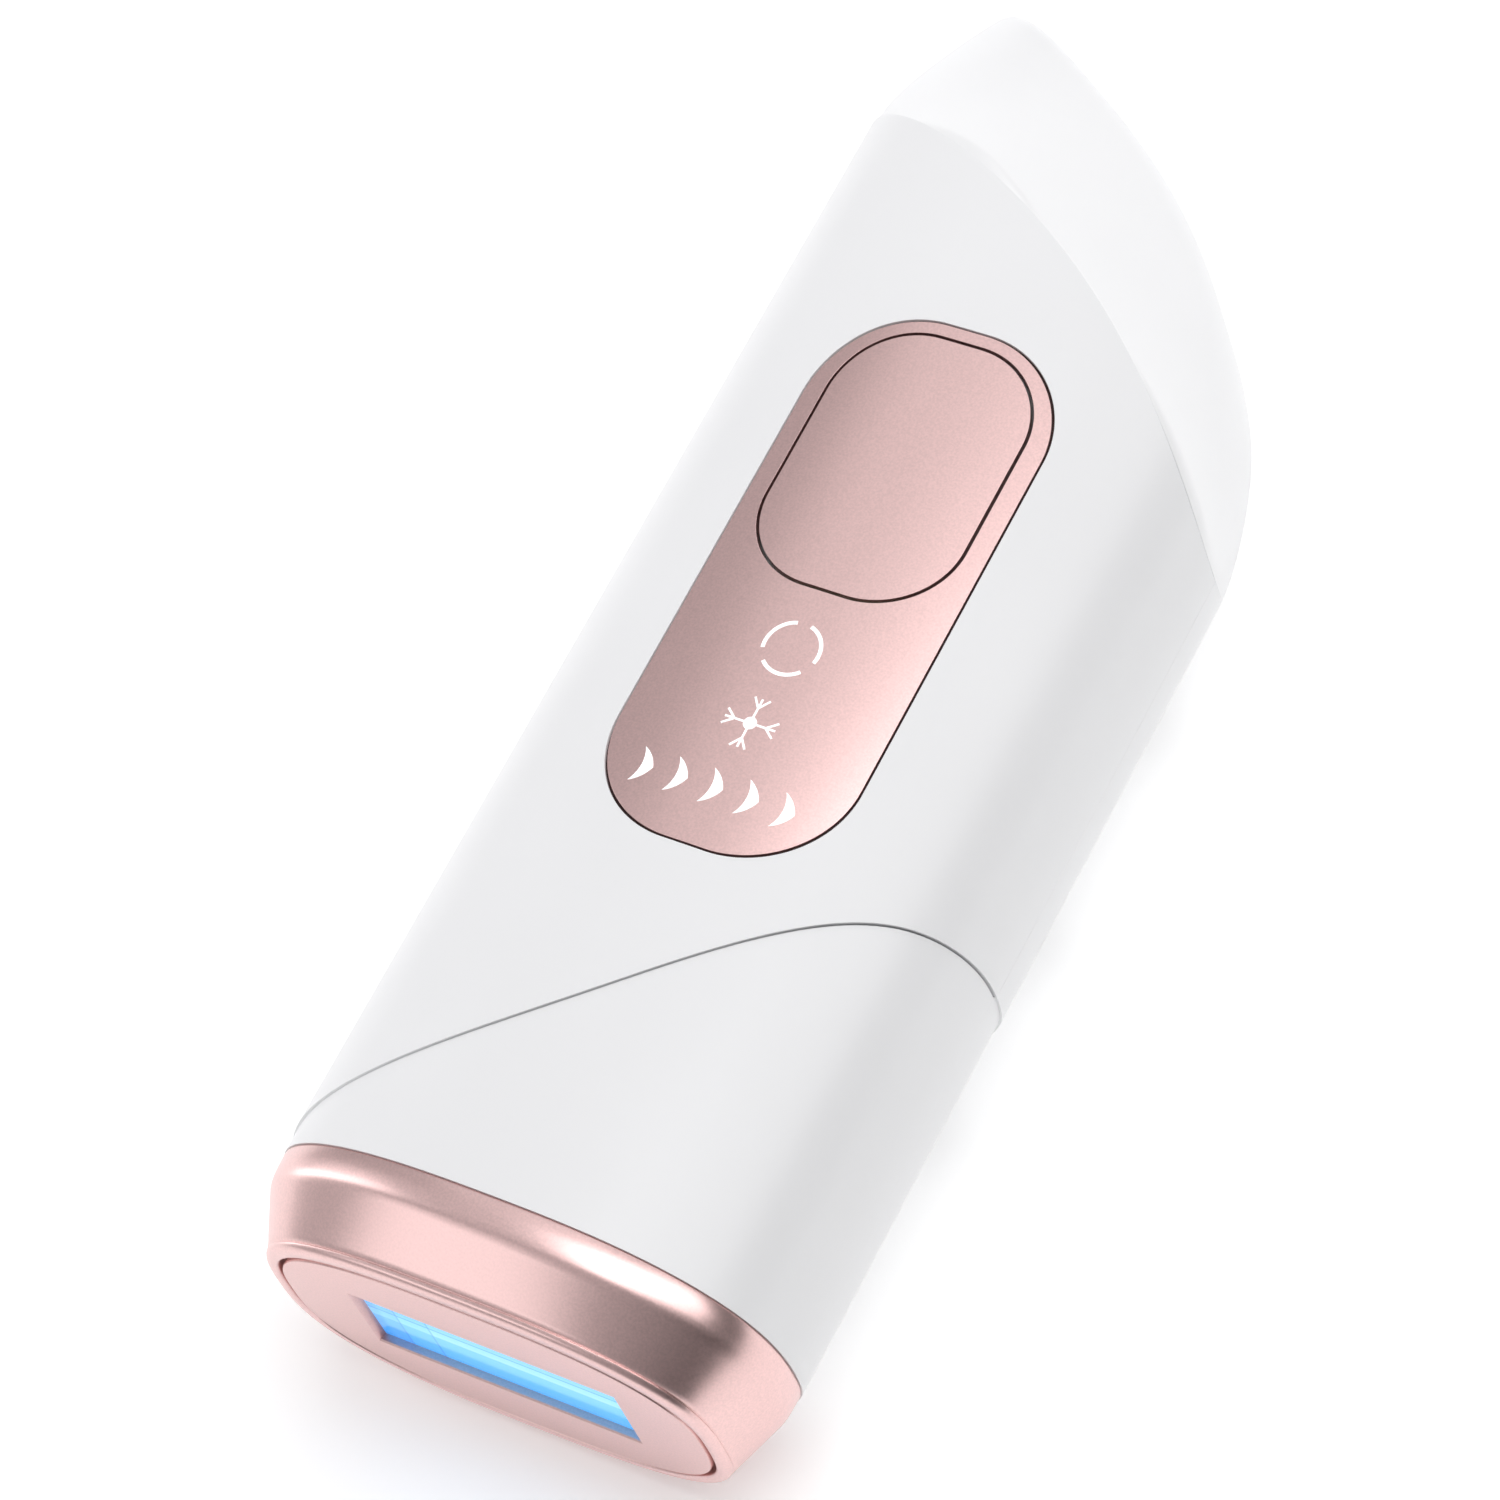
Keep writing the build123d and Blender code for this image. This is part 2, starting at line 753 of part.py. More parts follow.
with BuildPart() as lamp_electrodes:
    for end in (-1, 1):
        reach = sorted((end * electrode_tip, end * holder_half_width))
        tip = sorted((end * electrode_tip, end * (electrode_tip + 4)))
        bar(electrode_radius, reach, lamp_distance, 0)
        bar(electrode_radius * 2, tip, lamp_distance, 0)

with BuildPart() as lamp_holders:
    for end in (-1, 1):
        reach = sorted((end * (reflector_half_width + reflector_room), end * holder_half_width))
        block(reach, (holder_start, holder_end), (-holder_half_height, holder_half_height))
    bar(lamp_radius, (-lamp_half_length, lamp_half_length), lamp_distance, 0, mode=Mode.SUBTRACT)
    bar(electrode_radius, (-holder_half_width, holder_half_width), lamp_distance, 0, mode=Mode.SUBTRACT)

# The trough's section is drawn with X towards the tail and Y out of the front.
trough_plane = Plane(origin=place(0, 0, 0), x_dir=(0, 1, 0), z_dir=(1, 0, 0))

with BuildPart() as reflector:
    with BuildSketch(trough_plane):
        with BuildLine():
            ThreePointArc(
                (filter_end + 0.6, reflector_half_height),
                (reflector_back, 0),
                (filter_end + 0.6, -reflector_half_height),
            )
        trace(line_width=reflector_thickness)
    extrude(amount=reflector_half_width, both=True)

with BuildPart() as lamp_housing:
    window_block(2 * neck_half_width, 2 * neck_half_height, (filter_end, holder_start))
    window_block(2 * housing_half_width, 2 * housing_half_height, (holder_start, housing_end))
    trough_width = 2 * (reflector_half_width + reflector_room)
    trough_height = 2 * (reflector_half_height + reflector_room)
    trough_end = reflector_back + reflector_thickness / 2
    window_block(trough_width, trough_height, (filter_end, trough_end), Mode.SUBTRACT)
    window_block(2 * holder_half_width, 2 * holder_half_height, (holder_start, holder_end), Mode.SUBTRACT)

# ------------------------------------------------------------------------------ skin cooling
cooler_width = 7.0
cooler_half_height = 8.0
cooler_thickness = 2.6
cooler_start = neck_half_width + 0.4
cooler_end = flange_end + cooler_thickness
spreader_thickness = 1.6
spreader_half_width = cooler_start + cooler_width + 0.5
leg_half_height = 6.5
cross_half_height = 8.5
cross_end = housing_end + 2.0
sink_half_width = 24.0
sink_half_height = 11.5
sink_base = 2.0
fin_thickness = 0.8
fin_pitch = 3.0
fin_count = 16
fin_end = 37.5

with BuildPart() as thermoelectric_coolers:
    for end in (-1, 1):
        reach = sorted((end * cooler_start, end * (cooler_start + cooler_width)))
        block(reach, (flange_end, cooler_end), (-cooler_half_height, cooler_half_height))

with BuildPart() as heat_spreader:
    for end in (-1, 1):
        pad = sorted((end * cooler_start, end * spreader_half_width))
        leg = sorted((end * (spreader_half_width - spreader_thickness), end * spreader_half_width))
        pad_end = cooler_end + spreader_thickness
        block(pad, (cooler_end, pad_end), (-cooler_half_height, cooler_half_height))
        block(leg, (cooler_end, cross_end), (-leg_half_height, leg_half_height))
    window_block(2 * spreader_half_width, 2 * cross_half_height, (housing_end, cross_end))

with BuildPart() as heat_sink:
    window_block(2 * sink_half_width, 2 * sink_half_height, (cross_end, cross_end + sink_base))
    for fin in range(fin_count):
        fin_x = (fin - (fin_count - 1) / 2) * fin_pitch
        fin_reach = (fin_x - fin_thickness / 2, fin_x + fin_thickness / 2)
        block(fin_reach, (cross_end, fin_end), (-sink_half_height, sink_half_height))

# ------------------------------------------------------------------------------ chassis, springs and contacts
chassis_start = 32.0
chassis_end = 34.5
fan_half = 15.0
fan_depth = 10.0
fan_bore = 14.0
fan_hole_half = 12.0
fan_start = 40.7
fan_end = fan_start + fan_depth
flange_plate = 1.5
rail_inside = sink_half_height + 1.3
rail_outside = rail_inside + 2.0
sink_opening_width = 2 * sink_half_width + 1.2
sink_opening_height = 2 * sink_half_height + 1.0
chassis_plate = body_prism(head_inset + wall, chassis_start, chassis_end)

with BuildPart() as head_chassis:
    add(chassis_plate)
    window_block(sink_opening_width, sink_opening_height, (chassis_start, chassis_end), Mode.SUBTRACT)
    for end in (-1, 1):
        rail = sorted((end * rail_inside, end * rail_outside))
        block((-fan_half, fan_half), (chassis_end, fan_start), rail)
    window_block(2 * fan_half, 2 * fan_half, (fan_start - flange_plate, fan_start))
    rod(fan_bore, 0, (fan_start - flange_plate, fan_start), 0, mode=Mode.SUBTRACT)
    for across_x in (-fan_hole_half, fan_hole_half):
        for up_z in (-fan_hole_half, fan_hole_half):
            rod(screw_radius, across_x, (fan_start - 2 * flange_plate, fan_start), up_z, mode=Mode.SUBTRACT)

spring_radius = 1.4
spring_wire = 0.25
spring_turns = 5
spring_x = spreader_half_width - 1.4
spring_z = 4.6
spring_gap = 0.05
spring_start = cross_end + spring_gap + spring_wire
spring_length = chassis_start - cross_end - 2 * (spring_gap + spring_wire)

with BuildPart() as one_spring:
    with BuildLine() as coil:
        Helix(spring_length / spring_turns, spring_length, spring_radius, (0, 0, 0), (0, 1, 0))
    with BuildSketch(Plane(origin=coil.line @ 0, z_dir=coil.line % 0)):
        Circle(spring_wire)
    sweep(path=coil.line, is_frenet=True)

with BuildPart() as return_springs:
    for across_x in (-spring_x, spring_x):
        for up_z in (-spring_z, spring_z):
            with Locations(place(across_x, spring_start, up_z)):
                add(one_spring.part)

contact_half_width = 1.8
contact_half_height = 2.2
contact_length = 4.4
contact_x = spring_x
contact_radius = 0.6
contact_fit = 0.05
contact_depth = 2.0
contact_start = chassis_start - contact_length

with BuildPart() as contact_switches:
    for end in (-1, 1):
        reach = (end * contact_x - contact_half_width, end * contact_x + contact_half_width)
        block(reach, (contact_start, chassis_start), (-contact_half_height, contact_half_height))
        contact_bore = (contact_start, contact_start + contact_depth + contact_travel)
        rod(contact_radius + contact_fit, end * contact_x, contact_bore, 0, mode=Mode.SUBTRACT)

with BuildPart() as contact_plungers:
    for end in (-1, 1):
        rod(contact_radius, end * contact_x, (cross_end, contact_start + contact_depth - 0.2), 0)

# ------------------------------------------------------------------------------ fan
hub_radius = 6.4
hub_start = fan_start + 0.8
hub_end = fan_end - 1.9
blade_count = 7
blade_reach = fan_bore - 0.6
blade_chord = 7.6
blade_thickness = 0.7
blade_lean = 38
shaft_radius = 1.0
shaft_fit = 0.03
sleeve_radius = 1.6
spider_thickness = 1.2
spider_start = fan_end - spider_thickness
sleeve_start = hub_start + 2.4
strut_count = 3
strut_width = 1.6
stator_radius = 4.6

with BuildPart() as fan_frame:
    window_block(2 * fan_half, 2 * fan_half, (fan_start, fan_end))
    rod(fan_bore, 0, (fan_start, fan_end), 0, mode=Mode.SUBTRACT)
    for across_x in (-fan_hole_half, fan_hole_half):
        for up_z in (-fan_hole_half, fan_hole_half):
            rod(screw_radius + 0.2, across_x, (fan_start, fan_end), up_z, mode=Mode.SUBTRACT)
    with BuildSketch(cross_plane(fan_end)):
        Circle(hub_radius)
        with PolarLocations(0, strut_count, start_angle=90):
            Rectangle(fan_bore + 0.5, strut_width, align=(Align.MIN, Align.CENTER))
    extrude(amount=spider_thickness)
    rod(sleeve_radius, 0, (sleeve_start, fan_end), 0)
    rod(shaft_radius + shaft_fit, 0, (sleeve_start, spider_start + 0.2), 0, mode=Mode.SUBTRACT)

with BuildPart() as fan_stator:
    rod(stator_radius, 0, (sleeve_start + 0.4, spider_start), 0)
    rod(sleeve_radius, 0, (sleeve_start, spider_start), 0, mode=Mode.SUBTRACT)

# Each blade is a plank stood on the hub and leant over, trimmed to the tip circle.
with BuildPart() as one_blade:
    blade_middle = (hub_start + hub_end) / 2
    blade_origin = place(0, blade_middle, (hub_radius - 0.4 + blade_reach) / 2)
    with Locations(Location(blade_origin, (0, 0, blade_lean))):
        Box(blade_thickness, blade_chord, blade_reach - hub_radius + 0.4)

with BuildPart() as fan_impeller:
    rod(hub_radius, 0, (hub_start, hub_end), 0)
    rod(hub_radius - 0.9, 0, (hub_start + 1.2, hub_end), 0, mode=Mode.SUBTRACT)
    for blade in range(blade_count):
        turn = Axis(place(0, 0, 0), (0, 1, 0))
        add(one_blade.part.rotate(turn, 360 / blade_count * blade))
    rod(shaft_radius, 0, (hub_start, spider_start - 0.1), 0)

fan_screw_head = 1.3
fan_screw_head_radius = 2.0

with BuildPart() as fan_screws:
    for across_x in (-fan_hole_half, fan_hole_half):
        for up_z in (-fan_hole_half, fan_hole_half):
            rod(fan_screw_head_radius, across_x, (fan_end, fan_end + fan_screw_head), up_z)
            rod(screw_radius, across_x, (fan_start - flange_plate, fan_end), up_z)

# ------------------------------------------------------------------------------ control board under the panel
board_thickness = 1.2
control_half_width = 13.5
control_start = 58.5
control_end = 142.5
small_head_radius = 1.7
small_head_height = 1.1

with BuildPart() as control_pcb:
    board_depth = (board_top - board_thickness, board_top)
    block((-control_half_width, control_half_width), (control_start, control_end), board_depth)
    for x, distance in control_posts:
        post(small_screw_radius + 0.1, x, distance, board_depth, mode=Mode.SUBTRACT)

with BuildPart() as control_pcb_screws:
    for x, distance in control_posts:
        under = board_top - board_thickness
        post(small_head_radius, x, distance, (under - small_head_height, under))
        post(small_screw_radius, x, distance, (under, board_top + small_screw_length))

switch_half = 3.1
switch_bore_depth = 1.9

with BuildPart() as button_switch:
    switch_top = board_top + switch_height
    block(
        (-switch_half, switch_half),
        (button_middle - switch_half, button_middle + switch_half),
        (board_top, switch_top),
    )
    bore_depth = (switch_top - switch_bore_depth, switch_top)
    post(plunger_radius + 0.05, 0, button_middle, bore_depth, mode=Mode.SUBTRACT)

with BuildPart() as button_switch_plunger:
    post(plunger_radius, 0, button_middle, (switch_top - switch_bore_depth + button_travel + 0.2, stem_end))

led_spots = [(-3.4, ring_middle), (3.4, ring_middle), (0, ring_middle - 3.4), (0, flake_middle)]
led_spots += [((step - (level_count - 1) / 2) * level_pitch, level_middle) for step in range(level_count)]

led_half_length = 0.8
led_half_width = 0.4
led_height = 0.7

with BuildPart() as indicator_leds:
    for x, distance in led_spots:
        led_x = (x - led_half_length, x + led_half_length)
        led_distance = (distance - led_half_width, distance + led_half_width)
        block(led_x, led_distance, (board_top, board_top + led_height))

# ------------------------------------------------------------------------------ power board and its parts
power_half_width = 21.0
power_start = 66.0
power_end = 134.0

with BuildPart() as power_pcb:
    power_depth = (power_top - power_thickness, power_top)
    block((-power_half_width, power_half_width), (power_start, power_end), power_depth)
    for x, distance in power_posts:
        post(small_screw_radius + 0.1, x, distance, power_depth, mode=Mode.SUBTRACT)

with BuildPart() as power_pcb_screws:
    for x, distance in power_posts:
        post(small_head_radius, x, distance, (power_top, power_top + small_head_height))
        post(small_screw_radius, x, distance, (power_screw_end, power_top))

capacitor_radius = 9.0
capacitor_length = 36.0
capacitor_x = 9.6
capacitor_start = 72.5

with BuildPart() as flash_capacitors:
    for x in (-capacitor_x, capacitor_x):
        middle_depth = power_top + capacitor_radius
        rod(capacitor_radius, x, (capacitor_start, capacitor_start + capacitor_length), middle_depth)
        groove = (capacitor_start + 3, capacitor_start + 4.2)
        rod(capacitor_radius + 1, x, groove, middle_depth, mode=Mode.SUBTRACT)
        rod(capacitor_radius - 0.7, x, groove, middle_depth)

core_x = (-19.5, -0.5)
core_distance = (115.0, 127.0)
core_height = 14.0
leg_x = (-12.0, -8.0)
core_yoke = 2.5
winding_overhang = 1.5

with BuildPart() as transformer_core:
    block(core_x, core_distance, (power_top, power_top + core_height))
    window_depth = (power_top + core_yoke, power_top + core_height - core_yoke)
    block((core_x[0] + core_yoke, leg_x[0]), core_distance, window_depth, Mode.SUBTRACT)
    block((leg_x[1], core_x[1] - core_yoke), core_distance, window_depth, Mode.SUBTRACT)

with BuildPart() as transformer_winding:
    winding_x = (core_x[0] + core_yoke, core_x[1] - core_yoke)
    winding_distance = (core_distance[0] - winding_overhang, core_distance[1] + winding_overhang)
    block(winding_x, winding_distance, window_depth)
    block(leg_x, core_distance, window_depth, Mode.SUBTRACT)

trigger_radius = 4.0
trigger_x = 9.0

with BuildPart() as trigger_coil:
    rod(trigger_radius, trigger_x, (112.0, 126.0), power_top + trigger_radius)

# Two power transistors stand along the board's tail end, two plugs along its head end.
transistor_distance = (129.2, 133.7)
transistor_height = 12.0
plug_distance = (66.5, 71.0)
plug_height = 5.0

with BuildPart() as power_transistors:
    for transistor_x in ((-2.0, 7.5), (-13.0, -3.5)):
        block(transistor_x, transistor_distance, (power_top, power_top + transistor_height))

with BuildPart() as pcb_connectors:
    for plug_x in ((-13.0, -6.0), (6.0, 13.0)):
        block(plug_x, plug_distance, (power_top, power_top + plug_height))

# ------------------------------------------------------------------------------ files
pieces = {
    "front_handle_shell": front_handle_shell,
    "rear_handle_shell": rear_handle_shell,
    "front_head_shell": front_head_shell,
    "rear_head_shell": rear_head_shell,
    "tail_cap": tail_cap,
    "shell_screws": shell_screws,
    "collar": collar,
    "face_plate": face_plate,
    "window_glass": window_glass,
    "window_gasket": window_gasket,
    "filter_glass": filter_glass,
    "flash_lamp": flash_lamp,
    "lamp_electrodes": lamp_electrodes,
    "lamp_holders": lamp_holders,
    "reflector": reflector,
    "lamp_housing": lamp_housing,
    "thermoelectric_coolers": thermoelectric_coolers,
    "heat_spreader": heat_spreader,
    "heat_sink": heat_sink,
    "head_chassis": head_chassis,
    "return_springs": return_springs,
    "contact_switches": contact_switches,
    "contact_plungers": contact_plungers,
    "fan_frame": fan_frame,
    "fan_stator": fan_stator,
    "fan_impeller": fan_impeller,
    "fan_screws": fan_screws,
    "decor_panel": decor_panel,
    "icon_light_guide": icon_light_guide,
    "button": button,
    "button_gasket": button_gasket,
    "button_switch": button_switch,
    "button_switch_plunger": button_switch_plunger,
    "indicator_leds": indicator_leds,
    "control_pcb": control_pcb,
    "control_pcb_screws": control_pcb_screws,
    "power_pcb": power_pcb,
    "power_pcb_screws": power_pcb_screws,
    "flash_capacitors": flash_capacitors,
    "transformer_core": transformer_core,
    "transformer_winding": transformer_winding,
    "trigger_coil": trigger_coil,
    "power_transistors": power_transistors,
    "pcb_connectors": pcb_connectors,
    "dc_jack_housing": dc_jack_housing,
    "dc_jack_pin": dc_jack_pin,
    "dc_jack_terminals": dc_jack_terminals,
}

os.makedirs("parts", exist_ok=True)
for name, piece in pieces.items():
    piece.part.label = name
    export_step(piece.part, f"parts/{name}.step")
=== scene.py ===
import json
from math import pi, radians

import bmesh
import bpy
import numpy as np
from mathutils import Matrix, Vector


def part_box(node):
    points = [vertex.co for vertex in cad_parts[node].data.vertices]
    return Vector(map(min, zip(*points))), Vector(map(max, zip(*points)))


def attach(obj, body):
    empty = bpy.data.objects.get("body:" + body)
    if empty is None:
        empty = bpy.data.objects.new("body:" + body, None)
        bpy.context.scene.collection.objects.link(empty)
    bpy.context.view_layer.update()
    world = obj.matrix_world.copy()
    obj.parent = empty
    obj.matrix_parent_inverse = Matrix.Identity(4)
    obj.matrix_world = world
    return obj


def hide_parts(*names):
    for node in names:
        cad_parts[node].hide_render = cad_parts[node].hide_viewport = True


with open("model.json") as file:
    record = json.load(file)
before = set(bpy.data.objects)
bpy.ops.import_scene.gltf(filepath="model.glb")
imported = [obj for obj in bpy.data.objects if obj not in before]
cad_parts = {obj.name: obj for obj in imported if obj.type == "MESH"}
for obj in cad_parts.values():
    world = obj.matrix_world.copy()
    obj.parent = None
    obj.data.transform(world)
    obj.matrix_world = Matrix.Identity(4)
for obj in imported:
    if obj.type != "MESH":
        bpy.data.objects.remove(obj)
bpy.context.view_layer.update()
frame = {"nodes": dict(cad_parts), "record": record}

bl_info = {
    "name": "Flash hair remover",
    "version": (1, 0, 0),
    "blender": (4, 5, 0),
    "location": "3D View > Sidebar > Hair remover",
    "description": "Builds the outside of a hand-held flash hair remover round its packed parts",
    "category": "Object",
}

MM = 0.001


# ------------------------------------------------------------------ sizes in millimetres
def box_mm(node):
    """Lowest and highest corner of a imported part, in millimetres."""
    low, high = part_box(node)
    return low / MM, high / MM


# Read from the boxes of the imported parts.
skin_y = box_mm("face_plate")[0].y
plate_back = box_mm("face_plate")[1].y - skin_y
length = -2 * skin_y
glass_low, glass_high = box_mm("window_glass")
axis_z = (glass_low.z + glass_high.z) / 2
glass_half_width = glass_high.x
glass_half_height = glass_high.z - axis_z
half_width = box_mm("front_handle_shell")[1].x
front_depth = box_mm("front_handle_shell")[1].z - axis_z
rest_depth = axis_z - box_mm("rear_handle_shell")[0].z
panel_low, panel_high = box_mm("decor_panel")
panel_half_width = panel_high.x
panel_middle = (panel_low.y + panel_high.y) / 2 - skin_y
panel_half_length = (panel_high.y - panel_low.y) / 2
jack_low, jack_high = box_mm("dc_jack_housing")
jack_x = (jack_low.x + jack_high.x) / 2
jack_depth = (jack_low.z + jack_high.z) / 2 - axis_z
jack_mouth = jack_high.y - skin_y
jack_radius = (jack_high.x - jack_low.x) / 2

# Inside those boxes, the same as in the parts' own source.
back_depth = axis_z + 0.5  # where the oval's back would be without the flat that it rests on
parting_depth = 1.0  # front and rear shells meet this far in front of the window's axis
head_inset = 0.3  # the head shells stand this much inside the handle shells
front_roundness = 2.57  # 2 is an ellipse, more is squarer
back_roundness = 2.3
plate_roundness = 2.8
overshoot = 1.03  # seam curves run this share of the half width out, past the sides
plate_half_width = 28.25
plate_half_height = 15.0
plate_gap = 0.5  # groove all round the skin plate
window_half_width = 18.0
window_half_height = 6.25
window_recess = 1.1  # skin face to the glass
collar_lip = 2.4  # depth of the rim that holds the skin plate in
collar_shoulder = 7.8
collar_end = 12.0  # distance from the skin plate to where the shells begin
panel_corner = 13.7
panel_gap = 0.2
button_middle = 115.35
button_half_width = 13.35
button_half_length = 18.35
button_corner = 10.5
jack_recess_radius = jack_radius + 0.8
jack_boss_radius = jack_radius + 1.6
jack_boss_length = 7.0

# Chosen for the look.
panel_edge_gap = 0.08  # the panel's face is drawn in this much at its rim
panel_wall = 1.1
button_gap = 0.42
button_wall = 2.4
cap_inset = 0.45  # the tail cap stands this much inside the handle shells, less towards the right
ray_limit = 120.0  # longer than any ray that is followed across a face


# ------------------------------------------------------------------ what a user would change
class HairRemoverSizes(bpy.types.PropertyGroup):
    """Sizes of the finish work on the outside."""

    shell_wall: bpy.props.FloatProperty(
        name="Shell wall",
        description="Thickness of the moulded shells",
        default=2.0 * MM,
        unit="LENGTH",
        precision=5,
    )
    shell_edge: bpy.props.FloatProperty(
        name="Shell edge",
        description="Rounding of the edges where two shells meet",
        default=0.5 * MM,
        unit="LENGTH",
        precision=5,
    )
    trim_edge: bpy.props.FloatProperty(
        name="Trim edge",
        description="Bright rounding on the edges of the rose gold trim",
        default=0.5 * MM,
        unit="LENGTH",
        precision=5,
    )
    ridge_radius: bpy.props.FloatProperty(
        name="Tail ridge",
        description="Rounding of the ridge between the slanted face and the end of the tail",
        default=1.8 * MM,
        unit="LENGTH",
        precision=5,
    )


class HairRemoverColours(bpy.types.PropertyGroup):
    """Colours of the outside."""

    abs_white: bpy.props.StringProperty(
        name="Shell white", description="Colour of the moulded shells, as an sRGB hex value", default="F3F3F4"
    )
    rose_gold: bpy.props.StringProperty(
        name="Rose gold", description="Colour of the metallised trim, as an sRGB hex value", default="EECBC8"
    )
    # Blue of the painted glow on the window, used as emission.
    filter_glow_blue: bpy.props.StringProperty(
        name="Filter blue", description="Colour of the lit filter, as an sRGB hex value", default="5AC8FF"
    )
    floor: bpy.props.StringProperty(
        name="Floor", description="Colour of the floor, as an sRGB hex value", default="FFFFFF"
    )


def sizes():
    return bpy.context.scene.hair_remover_sizes


def colours():
    return bpy.context.scene.hair_remover_colours


# ------------------------------------------------------------------ curves and outlines
def oval_point(turn, half_x, front, back, in_front=front_roundness, behind=back_roundness):
    """Across and depth on an oval. Turn runs round it from the right side over the front."""
    across, out = np.cos(turn), np.sin(turn)
    roundness = np.where(out >= 0, in_front, behind)
    deep = np.where(out >= 0, front, back)
    x = np.sign(across) * np.abs(across) ** (2 / roundness) * half_x
    return x, np.sign(out) * np.abs(out) ** (2 / roundness) * deep


def body_oval(turn, inset=0.0):
    """The section of the handle, drawn in by inset."""
    return oval_point(turn, half_width - inset, front_depth - inset, back_depth - inset)


def distance_round(x, depth):
    """How far each point of a section is from its first, measured round the section."""
    return np.concatenate([[0], np.cumsum(np.hypot(np.diff(x), np.diff(depth)))])


def even_turns(count, start, end):
    """Turns from start to end that are evenly spaced along the handle's section."""
    fine = np.linspace(start, end, 6000)
    run = distance_round(*body_oval(fine))
    return np.interp(np.linspace(0, run[-1], count), run, fine)


def front_face_depth(x, inset=0.0):
    """Depth of the handle's front face at a place across it."""
    share = np.clip(np.abs(x) / (half_width - inset), 0, 1)
    return (front_depth - inset) * (1 - share**front_roundness) ** (1 / front_roundness)


parting_turn = float(np.arcsin((parting_depth / front_depth) ** (front_roundness / 2)))


def smooth_curve(points):
    """A smooth curve through points of rising x, as a function of x."""
    x, y = np.array(points).T
    step = np.diff(x)
    slope = np.diff(y) / step
    count = len(x)
    system = np.eye(count)
    target = np.zeros(count)
    for i in range(1, count - 1):
        system[i, i - 1 : i + 2] = step[i - 1], 2 * (step[i - 1] + step[i]), step[i]
        target[i] = 6 * (slope[i] - slope[i - 1])
    bend = np.linalg.solve(system, target)

    def value(at):
        at = np.clip(at, x[0], x[-1])
        i = np.clip(np.searchsorted(x, at) - 1, 0, count - 2)
        left, right = at - x[i], x[i + 1] - at
        curved = (bend[i] * right**3 + bend[i + 1] * left**3) / (6 * step[i])
        flat_left = (y[i] / step[i] - bend[i] * step[i] / 6) * right
        return curved + flat_left + (y[i + 1] / step[i] - bend[i + 1] * step[i] / 6) * left

    return value


def circle_through(a, b, c):
    """Centre and radius of the circle through three points in plan."""
    a, b, c = np.array(a), np.array(b), np.array(c)
    system = 2 * np.array([b - a, c - a])
    target = np.array([b @ b - a @ a, c @ c - a @ a])
    centre = np.linalg.solve(system, target)
    return centre, float(np.linalg.norm(a - centre))


seam_shares = (-overshoot, -0.58, -0.13, 0.42, 0.80, overshoot)
seam_distances = (13.2, 24.3, 36.6, 53.2, 61.8, 63.9)
head_seam = smooth_curve([(half_width * share, y) for share, y in zip(seam_shares, seam_distances)])


def tail_point(share, shortfall):
    """A point of the tail in plan: a share of the half width, and how far it is short of the tip."""
    return (half_width * share, length - shortfall)


edge_centre, edge_radius = circle_through(
    tail_point(-overshoot, 31.3), tail_point(0, 45.4), tail_point(overshoot, 76.5)
)
wall_centre, wall_radius = circle_through(
    tail_point(-overshoot, -2.0), tail_point(0, 19.0), tail_point(overshoot, 76.8)
)


def tail_edge(x):
    """Distance at which the handle shells end and the tail cap begins."""
    return edge_centre[1] + np.sqrt(edge_radius**2 - (x - edge_centre[0]) ** 2)


slant_front_depth = front_depth + 2.3
slant_back_depth = -8.0
slant_shares = (-overshoot, -0.81, -0.58, 0, 0.58, overshoot)


def slant_curve(shortfalls):
    """Where the slanted face passes at one depth, from how far it is short of the tip at each share."""
    drop = 0.5
    return smooth_curve([tail_point(share, short + drop) for share, short in zip(slant_shares, shortfalls)])


slant_front = slant_curve((55.4, 47.9, 41.7, 47.7, 63.2, 75.3))
slant_back = slant_curve((-0.6, -4.9, 0.4, 15.1, 39.2, 76.2))


def outside_oval(x, depth):
    """How far a point is outside the handle's section, drawn in by the cap's inset."""
    roundness = np.where(depth >= 0, front_roundness, back_roundness)
    deep = np.where(depth >= 0, front_depth, back_depth)
    size = (np.abs(x) / half_width) ** roundness + (np.abs(depth) / deep) ** roundness
    size = np.maximum(size, 1e-9) ** (1 / roundness)
    inset = cap_inset * np.clip((half_width - x) / (0.6 * half_width), 0, 1)
    return (size - 1) * np.hypot(x, depth) / size + inset


def past_slant(x, distance, depth):
    """How far a point is past the slanted face, which turns smoothly from its front curve to its back one."""
    share = (slant_front_depth - depth) / (slant_front_depth - slant_back_depth)
    low, high = slant_front(x), slant_back(x)
    lean = (high - low) / (slant_front_depth - slant_back_depth)
    turn = (slant_front(x + 0.5) - slant_front(x - 0.5)) * (1 - share)
    turn = turn + (slant_back(x + 0.5) - slant_back(x - 0.5)) * share
    return (distance - low - (high - low) * share) / np.sqrt(1 + lean**2 + turn**2)


def past_end_wall(x, distance):
    """How far a point is past the curved end."""
    return np.hypot(x - wall_centre[0], distance - wall_centre[1]) - wall_radius


def rounded_meeting(a, b, radius):
    """Where two faces meet, rounded to a radius."""
    over = np.hypot(np.maximum(a + radius, 0), np.maximum(b + radius, 0))
    return np.minimum(np.maximum(a, b), -radius) + over


